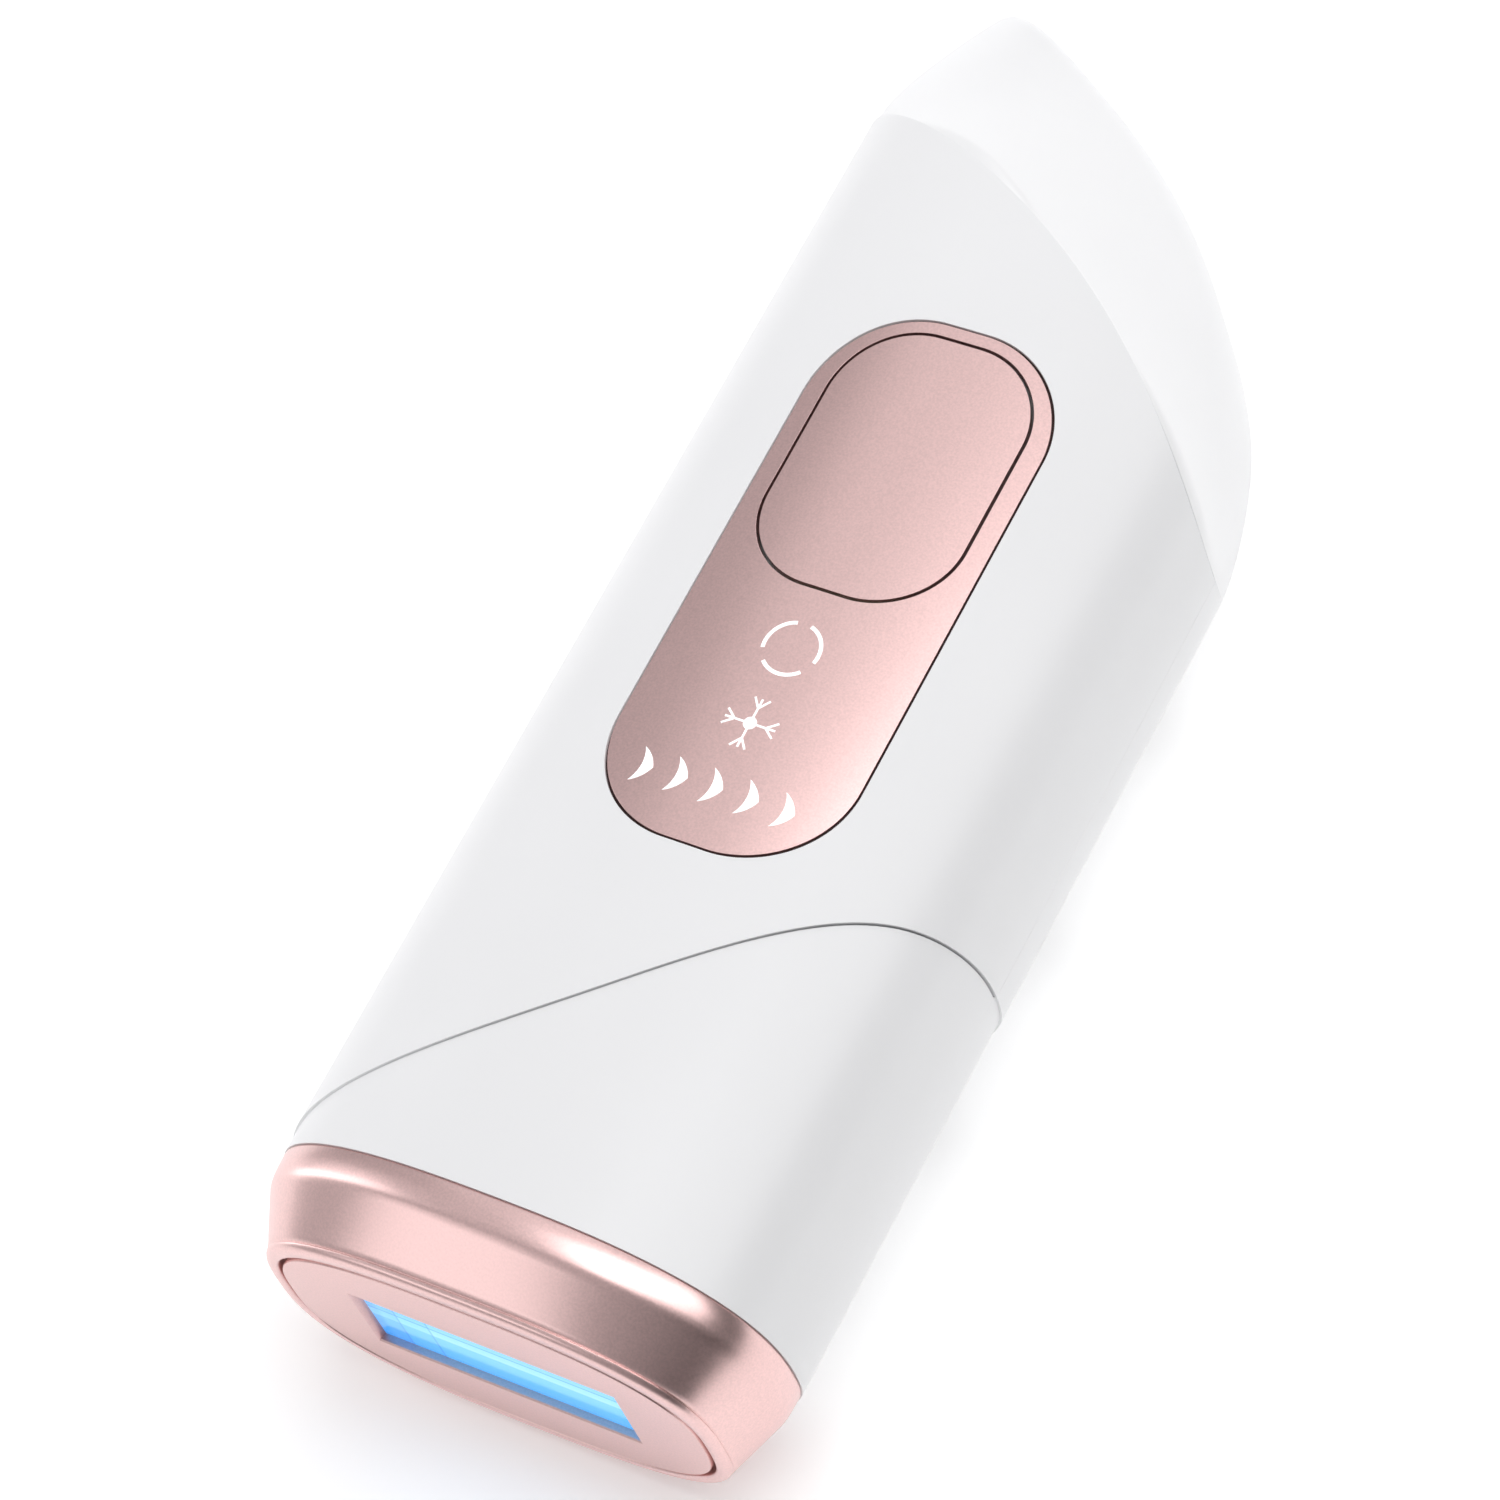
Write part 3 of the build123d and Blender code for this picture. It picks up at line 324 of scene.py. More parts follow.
def outside_tail(point, ridge_radius):
    """How far a point (across, distance, depth) is outside the tail cap, less than nothing inside."""
    side_corner, rim_edge = 6.0, 1.0
    x, distance, depth = point[..., 0], point[..., 1], point[..., 2]
    past_side = -half_width * overshoot - x
    end = rounded_meeting(past_end_wall(x, distance), past_side, side_corner)
    tail = rounded_meeting(past_slant(x, distance, depth), end, ridge_radius)
    return np.maximum(rounded_meeting(tail, outside_oval(x, depth), rim_edge), -rest_depth - depth)


def inlet_outline(radius):
    """A circle round the inlet's axis, across and in depth."""
    around = np.linspace(0, 2 * pi, 96, endpoint=False)
    return jack_x + radius * np.cos(around), jack_depth + radius * np.sin(around)


def rounded_rectangle(x, y, half_x, half_y, corner):
    """How far a point is outside a rounded rectangle, less than nothing inside."""
    over_x, over_y = np.abs(x) - half_x + corner, np.abs(y) - half_y + corner
    outside = np.hypot(np.maximum(over_x, 0), np.maximum(over_y, 0))
    return outside + np.minimum(np.maximum(over_x, over_y), 0) - corner


def furthest(inside, near, far):
    """The furthest places between near and far that are still inside, by halving the gap again and again."""
    for _ in range(40):
        middle = (near + far) / 2
        within = inside(middle)
        near, far = np.where(within, middle, near), np.where(within, far, middle)
    return near


def reach(inside, angles, limit=ray_limit):
    """How far a ray at each angle runs before it leaves a shape."""

    def along(out):
        return inside(out * np.cos(angles), out * np.sin(angles))

    return furthest(along, np.zeros_like(angles), np.full_like(angles, limit))


# ------------------------------------------------------------------ meshes
def placed(x, distance, depth):
    """Points of the object in millimetres, from across, back from the skin plate and out of the front."""
    x, distance, depth = np.broadcast_arrays(x, distance, depth)
    return np.stack([x, distance + skin_y, depth + axis_z], -1)


def skin(name, points, close_rows=False, close_columns=False, tip=None):
    """A smooth surface through rows of points. It may close round its rows or columns, or run to a tip."""
    rows, columns, _ = points.shape
    corner = np.arange(rows * columns).reshape(rows, columns)
    if close_columns:
        corner = np.hstack([corner, corner[:, :1]])
    if close_rows:
        corner = np.vstack([corner, corner[:1]])
    faces = np.stack([corner[:-1, :-1], corner[:-1, 1:], corner[1:, 1:], corner[1:, :-1]], -1)
    faces = faces.reshape(-1, 4).tolist()
    vertices = points.reshape(-1, 3)
    if tip is not None:
        vertices = np.vstack([vertices, tip])
        last = corner[-1]
        faces += [[a, b, len(vertices) - 1] for a, b in zip(last[:-1].tolist(), last[1:].tolist())]
    mesh = bpy.data.meshes.new(name)
    mesh.from_pydata((vertices * MM).tolist(), [], faces)
    shape = bmesh.new()
    shape.from_mesh(mesh)
    bmesh.ops.recalc_face_normals(shape, faces=shape.faces)
    shape.to_mesh(mesh)
    shape.free()
    mesh.shade_smooth()
    piece = bpy.data.objects.new(name, mesh)
    bpy.context.scene.collection.objects.link(piece)
    return piece


def facing(piece, direction):
    """Turn a surface's faces so that on the whole they look in a direction."""
    total = sum((face.normal * face.area for face in piece.data.polygons), Vector())
    if total.dot(direction) < 0:
        piece.data.flip_normals()


def soften(piece, width, sharpest=40):
    """Round the edges where faces meet at more than an angle."""
    edge = piece.modifiers.new("edge", "BEVEL")
    edge.width = width
    edge.segments = 3
    edge.limit_method = "ANGLE"
    edge.angle_limit = radians(sharpest)
    edge.harden_normals = True


def thicken(piece, wall):
    """Give a surface the thickness of a moulded wall, inwards."""
    shell = piece.modifiers.new("wall", "SOLIDIFY")
    shell.thickness = wall
    shell.offset = -1


def bore(piece, x, depth, distance, run):
    """Cut a hole lengthwise through a piece: an outline, across and in depth, is carried over a run."""
    rows = np.stack([placed(x, distance, depth), placed(x, distance + run, depth)])
    cutter = skin("cutter", rows, close_columns=True)
    shape = bmesh.new()
    shape.from_mesh(cutter.data)
    bmesh.ops.holes_fill(shape, edges=shape.edges)
    bmesh.ops.recalc_face_normals(shape, faces=shape.faces)
    shape.to_mesh(cutter.data)
    shape.free()
    hole = piece.modifiers.new("hole", "BOOLEAN")
    hole.operation = "DIFFERENCE"
    hole.solver = "EXACT"
    hole.object = cutter
    bored = piece.evaluated_get(bpy.context.evaluated_depsgraph_get())
    mesh = bpy.data.meshes.new_from_object(bored)
    piece.modifiers.clear()
    piece.data = mesh
    bpy.data.objects.remove(cutter)


def fit(piece, body, slot, *nodes):
    """Finish a piece: its body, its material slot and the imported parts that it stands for."""
    piece.data.materials.clear()
    piece.data.materials.append(finish(slot))
    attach(piece, body)
    if nodes:
        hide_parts(*nodes)


# ------------------------------------------------------------------ materials
def linear(hex_colour):
    """An sRGB hex value as linear red, green, blue and alpha."""
    values = [int(hex_colour[i : i + 2], 16) / 255 for i in (0, 2, 4)]
    return [v / 12.92 if v <= 0.04045 else ((v + 0.055) / 1.055) ** 2.4 for v in values] + [1.0]


def add_node(tree, kind, settings=None, links=None):
    """Add a node, set its values and sockets, and link its inputs from other nodes' outputs."""
    node = tree.nodes.new(kind)
    for name, value in (settings or {}).items():
        if hasattr(node, name):
            setattr(node, name, value)
        else:
            node.inputs[name].default_value = value
    for name, source in (links or {}).items():
        tree.links.new(source, node.inputs[name])
    return node


def new_material(name, **settings):
    """A material with a plain shader; settings are its sockets, with spaces written as underscores."""
    material = bpy.data.materials.new(name)
    material.use_nodes = True
    tree = material.node_tree
    tree.nodes.clear()
    shader = add_node(tree, "ShaderNodeBsdfPrincipled")
    for socket, value in settings.items():
        shader.inputs[socket.replace("_", " ")].default_value = value
    add_node(tree, "ShaderNodeOutputMaterial", links={"Surface": shader.outputs["BSDF"]})
    return material, tree, shader


def grain(tree, size, detail=2.0, stretch=(1, 1, 1)):
    """Cloudy variation with a real grain size in millimetres, drawn out along an axis by stretch."""
    place = add_node(tree, "ShaderNodeTexCoord")
    scaled = add_node(
        tree, "ShaderNodeMapping", {"Scale": stretch}, {"Vector": place.outputs["Object"]}
    )
    settings = {"Scale": 1 / (size * MM), "Detail": detail}
    return add_node(tree, "ShaderNodeTexNoise", settings, {"Vector": scaled.outputs[0]})


def vary_roughness(tree, shader, source, low, high):
    """Let the gloss wander between two roughness values."""
    spread = add_node(
        tree, "ShaderNodeMapRange", {"To Min": low, "To Max": high}, {"Value": source.outputs["Fac"]}
    )
    tree.links.new(spread.outputs["Result"], shader.inputs["Roughness"])


def vary_colour(tree, shader, source, dark, light):
    """Let the colour wander between two hex values."""
    ramp = add_node(tree, "ShaderNodeValToRGB", links={"Fac": source.outputs["Fac"]})
    ramp.color_ramp.elements[0].position = 0.3
    ramp.color_ramp.elements[1].position = 0.7
    ramp.color_ramp.elements[0].color = linear(dark)
    ramp.color_ramp.elements[1].color = linear(light)
    tree.links.new(ramp.outputs["Color"], shader.inputs["Base Color"])


def raise_grain(tree, shader, source, height):
    """Turn variation into bumps of a height in millimetres."""
    settings = {"Strength": 1.0, "Distance": height * MM}
    bump = add_node(tree, "ShaderNodeBump", settings, {"Height": source.outputs["Fac"]})
    tree.links.new(bump.outputs["Normal"], shader.inputs["Normal"])


def shade(hex_colour, factor):
    """A hex value made lighter or darker by a factor."""
    parts = [int(hex_colour[i : i + 2], 16) for i in (0, 2, 4)]
    return "".join(f"{min(255, round(part * factor)):02X}" for part in parts)


def white_abs():
    """Acrylonitrile butadiene styrene moulded in a fine-blasted tool: a soft, even satin white."""
    white = colours().abs_white
    material, tree, shader = new_material("white_abs", IOR=1.54, Roughness=0.3)
    tone = grain(tree, 30.0)
    vary_colour(tree, shader, tone, shade(white, 0.99), white)
    blast = grain(tree, 0.35, detail=3.0)  # real blasting is about 0.05 mm, drawn coarser so that it shows
    vary_roughness(tree, shader, blast, 0.27, 0.36)
    raise_grain(tree, shader, blast, 0.002)
    return material


def rose_gold_lacquer():
    """Vacuum-metallised plastic under tinted satin lacquer: a soft metal sheen with fine flakes in it."""
    rose = colours().rose_gold
    material, tree, shader = new_material("rose_gold_lacquer", Metallic=1.0, Roughness=0.3)
    flake = grain(tree, 0.3, detail=2.0)  # flakes are about 0.03 mm, drawn coarser so that they show
    vary_colour(tree, shader, flake, shade(rose, 0.965), shade(rose, 1.02))
    vary_roughness(tree, shader, flake, 0.26, 0.36)
    raise_grain(tree, shader, flake, 0.0012)
    return material


def rose_gold_anodised():
    """Anodised aluminium with a bead-blasted face: flatter and paler than the lacquered trim."""
    rose = colours().rose_gold
    material, tree, shader = new_material("rose_gold_anodised", Metallic=1.0, Roughness=0.36)
    blast = grain(tree, 0.28, detail=2.0)
    vary_colour(tree, shader, blast, shade(rose, 0.95), shade(rose, 1.0))
    vary_roughness(tree, shader, blast, 0.32, 0.42)
    raise_grain(tree, shader, blast, 0.0015)
    return material


def stripes(tree, position, half_size, middle, colours_at):
    """Coloured stripes across a pane, from a position and the colour at each share of the pane's size."""
    ends = {"From Min": (middle - half_size) * MM, "From Max": (middle + half_size) * MM}
    share = add_node(tree, "ShaderNodeMapRange", ends, {"Value": position})
    ramp = add_node(tree, "ShaderNodeValToRGB", links={"Fac": share.outputs["Result"]})
    (first, start), *between, (last, end) = colours_at
    for stop, at, colour in zip(ramp.color_ramp.elements, (first, last), (start, end)):
        stop.position, stop.color = at, linear(colour)
    for at, colour in between:
        ramp.color_ramp.elements.new(at).color = linear(colour)
    return ramp.outputs["Color"]


def painted_filter_glow():
    """Sapphire over a blue filter, with painted glow: emission makes the glossy pane glow blue, with a
    painted highlight of the lamp as a pale strip.
    """
    material, tree, shader = new_material("painted_filter_glow", IOR=1.77, Roughness=0.04)
    shader.inputs["Base Color"].default_value = linear("1E7FD0")
    place = add_node(tree, "ShaderNodeTexCoord")
    axes = add_node(tree, "ShaderNodeSeparateXYZ", links={"Vector": place.outputs["Object"]})
    # Painted glow down the pane: a pale strip is the painted highlight of the lamp, with a thin dark line of
    # painted shade just past it.
    lamp = stripes(tree, axes.outputs["Z"], glass_half_height, axis_z, (
        (0.0, "3FB0F6"), (0.30, colours().filter_glow_blue), (0.455, "6ACFFF"), (0.475, "A8F0FF"),
        (0.585, "9BEAFF"), (0.597, "2E96E0"), (0.615, "84DAFF"), (1.0, "7CD6FF"),
    ))
    # Across the pane, thin dark lines near the left end and slightly darker ends are multiplied into the
    # painted glow.
    edges = stripes(tree, axes.outputs["X"], glass_half_width, 0, (
        (0.0, "C8E4FF"), (0.132, "C4E2FF"), (0.137, "6FA9DA"), (0.142, "E0F4FF"), (0.250, "E8F8FF"),
        (0.255, "7FB4E0"), (0.260, "FFFFFF"), (0.90, "FFFFFF"), (1.0, "D8F0FF"),
    ))
    lit = add_node(tree, "ShaderNodeMix", {"data_type": "RGBA", "blend_type": "MULTIPLY"})
    lit.inputs[0].default_value = 1.0  # sockets 0, 6 and 7 are the colour mix's factor and its two colours
    tree.links.new(lamp, lit.inputs[6])
    tree.links.new(edges, lit.inputs[7])
    # The emission is painted light: the sapphire glows though it is no lamp.
    tree.links.new(lit.outputs[2], shader.inputs["Emission Color"])
    shader.inputs["Emission Strength"].default_value = 0.72
    return material


def plastic(name, colour, low, high, size=0.4, height=0.004, ior=1.5):
    """A moulded plastic with a fine mould texture."""
    material, tree, shader = new_material(name, IOR=ior)
    texture = grain(tree, size, detail=3.0)
    vary_colour(tree, shader, texture, shade(colour, 0.93), colour)
    vary_roughness(tree, shader, texture, low, high)
    raise_grain(tree, shader, texture, height)
    return material


def metal(name, colour, low, high, size=0.5, height=0.002, stretch=(1, 1, 1)):
    """A bare metal whose surface marks may be drawn out along an axis."""
    material, tree, shader = new_material(name, Metallic=1.0)
    texture = grain(tree, size, detail=3.0, stretch=stretch)
    vary_colour(tree, shader, texture, shade(colour, 0.9), colour)
    vary_roughness(tree, shader, texture, low, high)
    raise_grain(tree, shader, texture, height)
    return material


def silicone():
    """Translucent grey silicone rubber, compression moulded: dull, with a faint bloom."""
    return plastic("silicone", "BEBEBE", 0.55, 0.7, size=0.8, ior=1.43)


def foam_tape():
    """Dark acrylic foam tape, die cut. Where it lines the decor panel's gap it is painted shadow: it shows
    only as a shadow line in the gap.
    """
    # 3A2424 is the dark colour that paints the shadow in the decor panel's gap.
    return plastic("foam_tape", "3A2424", 0.8, 0.95, size=0.3, height=0.02)


def filter_glass():
    """Blue absorbing optical glass, polished: clear and deep in colour."""
    material, tree, shader = new_material("filter_glass", IOR=1.52, Transmission_Weight=0.8)
    ream = grain(tree, 6.0)
    vary_colour(tree, shader, ream, "2E9BF0", "4FB8FF")
    vary_roughness(tree, shader, ream, 0.01, 0.04)
    return material


def quartz():
    """Fused quartz tube, drawn: clear with faint draw lines along it."""
    material, tree, shader = new_material("quartz", IOR=1.46, Transmission_Weight=0.9)
    draw = grain(tree, 0.6, stretch=(0.05, 1, 1))
    vary_colour(tree, shader, draw, "E4EEFF", "FAFCFF")
    vary_roughness(tree, shader, draw, 0.02, 0.06)
    return material


def tungsten():
    """Drawn tungsten rod: grey metal with draw lines."""
    return metal("tungsten", "9E9E9E", 0.3, 0.45, size=0.2, stretch=(0.05, 1, 1))


def ceramic():
    """Pressed and fired alumina: chalky off-white."""
    return plastic("ceramic", "E6E3DB", 0.55, 0.75, size=0.3, height=0.006, ior=1.76)


def polished_aluminium():
    """Aluminium sheet, rolled and polished: nearly a mirror, with faint rolling lines."""
    return metal("polished_aluminium", "EDEEF0", 0.06, 0.14, size=0.6, stretch=(0.05, 1, 1))


def black_pps():
    """Glass-filled polyphenylene sulphide, moulded: matt black with a fine fleck."""
    return plastic("black_pps", "1C1C1D", 0.45, 0.6, size=0.25, ior=1.6)


def copper():
    """Copper, drawn or stamped: warm, slightly tarnished in patches."""
    return metal("copper", "C98A63", 0.28, 0.42, size=0.7)


def fin_aluminium():
    """Extruded aluminium, as sawn: pale grey with lines along the fins."""
    return metal("fin_aluminium", "C6C8CB", 0.32, 0.46, size=0.3, stretch=(1, 0.06, 1))


def grey_nylon():
    """Glass-filled nylon, moulded: mid grey and dry looking."""
    return plastic("grey_nylon", "5C5F62", 0.5, 0.65, size=0.3, ior=1.53)


def spring_steel():
    """Zinc-plated steel: bright with a slight milky patchiness."""
    return metal("spring_steel", "C9CBCF", 0.22, 0.36, size=0.4)


def fan_plastic():
    """Glass-filled polybutylene terephthalate, moulded: black with a low sheen."""
    return plastic("fan_plastic", "232426", 0.35, 0.5, size=0.3, ior=1.55)


def milky_acrylic():
    """Opal acrylic, moulded: pure white, lit evenly from behind."""
    material, tree, shader = new_material("milky_acrylic", IOR=1.49)
    cloud = grain(tree, 4.0)
    vary_colour(tree, shader, cloud, "F6F6F6", "FFFFFF")
    vary_roughness(tree, shader, cloud, 0.3, 0.4)
    shader.inputs["Emission Color"].default_value = linear("FFFFFF")
    shader.inputs["Emission Strength"].default_value = 0.35
    return material


def switch_cream():
    """Cream nylon, moulded: the usual colour of small connectors and switch pins."""
    return plastic("switch_cream", "DAD1BD", 0.4, 0.55, size=0.3, ior=1.53)


def led_resin():
    """Clear epoxy over yellow phosphor: glossy pale yellow."""
    return plastic("led_resin", "F3EDB8", 0.1, 0.2, size=0.3, height=0.001, ior=1.53)


def green_board():
    """Glass epoxy board under green solder mask: glossy green with the weave just showing."""
    return plastic("green_board", "1F7A45", 0.25, 0.4, size=0.5, height=0.006, ior=1.55)


def capacitor_sleeve():
    """Shrunk polyvinyl chloride sleeve: dark blue and glossy."""
    return plastic("capacitor_sleeve", "232A52", 0.2, 0.32, size=0.8, ior=1.53)


def ferrite():
    """Sintered ferrite, ground on its faces: dark grey and slightly grainy."""
    return plastic("ferrite", "3A3A3A", 0.5, 0.65, size=0.2, ior=2.0)


def nickel_brass():
    """Nickel-plated brass, turned: a warm silver with turning lines."""
    return metal("nickel_brass", "D3C9B4", 0.18, 0.3, size=0.2, stretch=(1, 0.1, 1))


finishes = {
    "white_abs": white_abs,
    "rose_gold_trim": rose_gold_lacquer,
    "rose_gold_aluminium": rose_gold_anodised,
    "sapphire": painted_filter_glow,
    "foam_tape": foam_tape,
    "silicone": silicone,
    "filter_glass": filter_glass,
    "quartz": quartz,
    "tungsten": tungsten,
    "ceramic": ceramic,
    "polished_aluminium": polished_aluminium,
    "black_pps": black_pps,
    "copper": copper,
    "fin_aluminium": fin_aluminium,
    "grey_nylon": grey_nylon,
    "spring_steel": spring_steel,
    "fan_plastic": fan_plastic,
    "milky_acrylic": milky_acrylic,
    "switch_cream": switch_cream,
    "led_resin": led_resin,
    "green_board": green_board,
    "capacitor_sleeve": capacitor_sleeve,
    "ferrite": ferrite,
    "nickel_brass": nickel_brass,
}
made = {}


def finish(slot):
    """The material of a slot, made once."""
    if slot not in made:
        made[slot] = finishes[slot]()
    return made[slot]


# ------------------------------------------------------------------ pieces
class HAIR_REMOVER_OT_inner_parts(bpy.types.Operator):
    """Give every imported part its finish"""

    bl_idname = "hair_remover.inner_parts"
    bl_label = "Packed parts"

    def execute(self, context):
        for part in frame["record"]["subparts"]:
            node = frame["nodes"][part["node"]]
            node.data.materials.clear()
            node.data.materials.append(finish(part["material_slot"]))
        return {"FINISHED"}


class HAIR_REMOVER_OT_head_shell(bpy.types.Operator):
    """Front half of the head's housing, up to the S-shaped seam"""

    bl_idname = "hair_remover.head_shell"
    bl_label = "Head shell"

    def execute(self, context):
        turns = even_turns(181, parting_turn, pi - parting_turn)
        x, depth = body_oval(turns, head_inset)
        share = np.linspace(0, 1, 81)[:, None]
        end = head_seam(x) - 0.12
        piece = skin("head_shell_front", placed(x, collar_end + (end - collar_end) * share, depth))
        facing(piece, Vector((0, 0, 1)))
        thicken(piece, sizes().shell_wall)
        soften(piece, sizes().shell_edge)
        fit(piece, "handle", "white_abs", "front_head_shell")
        return {"FINISHED"}


class HAIR_REMOVER_OT_handle_shell(bpy.types.Operator):
    """Front half of the handle's housing, with its opening for the decor panel"""

    bl_idname = "hair_remover.handle_shell"
    bl_label = "Handle shell"

    def execute(self, context):
        turns = even_turns(2001, parting_turn, pi - parting_turn)
        x, depth = body_oval(turns)
        run = distance_round(x, depth)
        side = run[-1] / 2
        run = side - run  # how far round the front from its middle, more to the right
        seam_gap, tail_gap = 0.06, 0.05

        def across(s):
            return np.interp(-s, -run, x)

        def opening(s, y):
            half_x, half_y = panel_half_width + panel_gap, panel_half_length + panel_gap
            return rounded_rectangle(across(s), y, half_x, half_y, panel_corner) < 0

        def outline(s, y):
            at = across(s)
            above_seam = y + panel_middle > head_seam(at) + seam_gap
            below_edge = y + panel_middle < tail_edge(at) - tail_gap
            return above_seam & below_edge & (np.abs(s) < side)

        corners = []
        for s in (side, -side):
            at = across(np.array(s))
            for y in (float(head_seam(at)) + seam_gap, float(tail_edge(at)) - tail_gap):
                just_inside = s * 0.99999
                corners.append(np.arctan2(y - panel_middle, just_inside))
        angles = np.sort(np.concatenate([np.linspace(-pi, pi, 900, endpoint=False), corners]))
        near, far = reach(opening, angles, 60.0), reach(outline, angles)
        share = (np.linspace(0, 1, 49) ** 1.3)[:, None]
        out = near + (far - near) * share
        s, y = out * np.cos(angles), out * np.sin(angles) + panel_middle
        x, depth = body_oval(np.interp(-s, -run, turns))
        piece = skin("handle_shell_front", placed(x, y, depth), close_columns=True)
        facing(piece, Vector((0, 0, 1)))
        thicken(piece, sizes().shell_wall)
        soften(piece, sizes().shell_edge)
        fit(piece, "handle", "white_abs", "front_handle_shell")
        return {"FINISHED"}


class HAIR_REMOVER_OT_decor_panel(bpy.types.Operator):
    """Rose gold panel round the button, and a dark strip under the gap round it that is painted shadow in the
    gap
    """

    bl_idname = "hair_remover.decor_panel"
    bl_label = "Decor panel"

    def execute(self, context):
        shift = panel_middle - button_middle
        angles = np.linspace(-pi, pi, 900, endpoint=False)

        def hole(x, y):
            half_x, half_y = button_half_width + button_gap, button_half_length + button_gap
            return rounded_rectangle(x, y, half_x, half_y, button_corner + button_gap) < 0

        def outline(grow):
            def inside(x, y):
                half_x, half_y = panel_half_width + grow, panel_half_length + grow
                return rounded_rectangle(x, y - shift, half_x, half_y, panel_corner + grow) < 0

            return inside

        def ring(name, near, far, count, sunk, wall):
            """A ring of the front face between two outlines, sunk a little and given a wall."""
            out = near + (far - near) * np.linspace(0, 1, count)[:, None]
            x, y = out * np.cos(angles), out * np.sin(angles) + button_middle
            piece = skin(name, placed(x, y, front_face_depth(x) - sunk), close_columns=True)
            facing(piece, Vector((0, 0, 1)))
            thicken(piece, wall * MM)
            return piece

        near, far = reach(hole, angles, 60.0), reach(outline(-panel_edge_gap), angles, 80.0)
        panel = ring("panel", near, far, 41, 0, panel_wall)
        soften(panel, sizes().trim_edge)
        fit(panel, "handle", "rose_gold_trim", "decor_panel")

        # Painted shadow: a dark strip in the foam tape material, held as tape, lies under the panel's gap
        # where there is only shade.
        gap_shadow_half_width = 0.3
        near = reach(outline(-gap_shadow_half_width), angles, 80.0)
        far = reach(outline(gap_shadow_half_width), angles, 80.0)
        tape = ring("painted_gap_shadow", near, far, 3, 0.45, 0.5)
        tape.data.materials.append(finish("foam_tape"))
        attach(tape, "handle")
        return {"FINISHED"}


class HAIR_REMOVER_OT_icons(bpy.types.Operator):
    """Lit icons: the light guide, standing a hair proud of the panel"""

    bl_idname = "hair_remover.icons"
    bl_label = "Icons"

    def execute(self, context):
        mesh = frame["nodes"]["icon_light_guide"].data.copy()
        mesh.transform(Matrix.Translation((0, 0, 0.05 * MM)))
        piece = bpy.data.objects.new("lit_icons", mesh)
        context.scene.collection.objects.link(piece)
        fit(piece, "handle", "milky_acrylic", "icon_light_guide")
        return {"FINISHED"}


class HAIR_REMOVER_OT_button(bpy.types.Operator):
    """Push button, following the curve of the front"""

    bl_idname = "hair_remover.button"
    bl_label = "Button"

    def execute(self, context):
        swing = np.linspace(0, pi / 2, 25)
        straight = np.linspace(-1, 1, 41)[1:-1] * (button_half_length - button_corner)
        end_y = button_half_length - button_corner + button_corner * np.sin(swing)
        end_x = button_half_width - button_corner + button_corner * np.cos(swing)
        y = np.concatenate([-end_y[::-1], straight, end_y])
        half = np.concatenate([end_x[::-1], np.full_like(straight, button_half_width), end_x])
        x = half[:, None] * np.linspace(-1, 1, 61)
        piece = skin("push_button", placed(x, y[:, None] + button_middle, front_face_depth(x)))
        facing(piece, Vector((0, 0, 1)))
        thicken(piece, button_wall * MM)
        soften(piece, sizes().trim_edge * 1.3)
        fit(piece, "button", "rose_gold_trim", "button")
        return {"FINISHED"}


class HAIR_REMOVER_OT_collar(bpy.types.Operator):
    """Rose gold collar round the treatment head"""

    bl_idname = "hair_remover.collar"
    bl_label = "Collar"

    def execute(self, context):
        groove_x, groove_z = plate_half_width + plate_gap, plate_half_height + plate_gap
        nose_x, nose_z = groove_x + 1.8, groove_z + 2.4
        turns = even_turns(360, 0, 2 * pi * 359 / 360)

        def nose(distance, inset):
            front = nose_z - inset
            x, depth = oval_point(turns, nose_x - inset, front, front - 0.7, plate_roundness, plate_roundness)
            return placed(x, distance, depth)

        def groove(distance, grow):
            half_x, deep = groove_x + grow, groove_z + grow
            x, depth = oval_point(turns, half_x, deep, deep, plate_roundness, plate_roundness)
            return placed(x, distance, depth)

        def band(distance, inset):
            x, depth = body_oval(turns, inset)
            depth = np.where(depth < 0, depth * (1 - 0.5 / back_depth), depth)
            return placed(x, distance, depth)

        # Each row is a distance back from the skin face and how far it is drawn in from the full outline.
        lip = [groove(collar_lip, 0), groove(0.35, 0), groove(0.12, 0.08), groove(0.0, 0.3)]
        lip += [nose(0.0, 1.0), nose(0.1, 0.62), nose(0.32, 0.3), nose(0.62, 0.1), nose(0.95, 0.02)]
        crease = [nose(1.05, 0.14), nose(1.15, 0.14), nose(1.3, -0.06)]
        start, end = nose(1.3, -0.06), band(collar_shoulder, 0.75)
        taper = [start + (end - start) * share for share in np.linspace(0, 1, 15)[1:-2]]
        shoulder = [band(collar_shoulder - 0.1, 0.79), band(collar_shoulder + 0.5, 0.62)]
        shoulder += [band(collar_shoulder + 1.2, 0.51), band(collar_shoulder + 2.2, 0.44)]
        tail = [band(collar_end - 0.35, 0.4), band(collar_end - 0.1, 0.5), band(collar_end, 0.75)]
        inside = [band(collar_end, 2.4), band(7.0, 2.9), groove(6.0, 0.9), groove(collar_lip, 0.9)]
        rows = lip + crease + taper + shoulder + tail + inside
        piece = skin("head_collar", np.stack(rows), close_rows=True, close_columns=True)
        soften(piece, 0.12 * MM, 50)
        fit(piece, "handle", "rose_gold_trim", "collar")
        return {"FINISHED"}


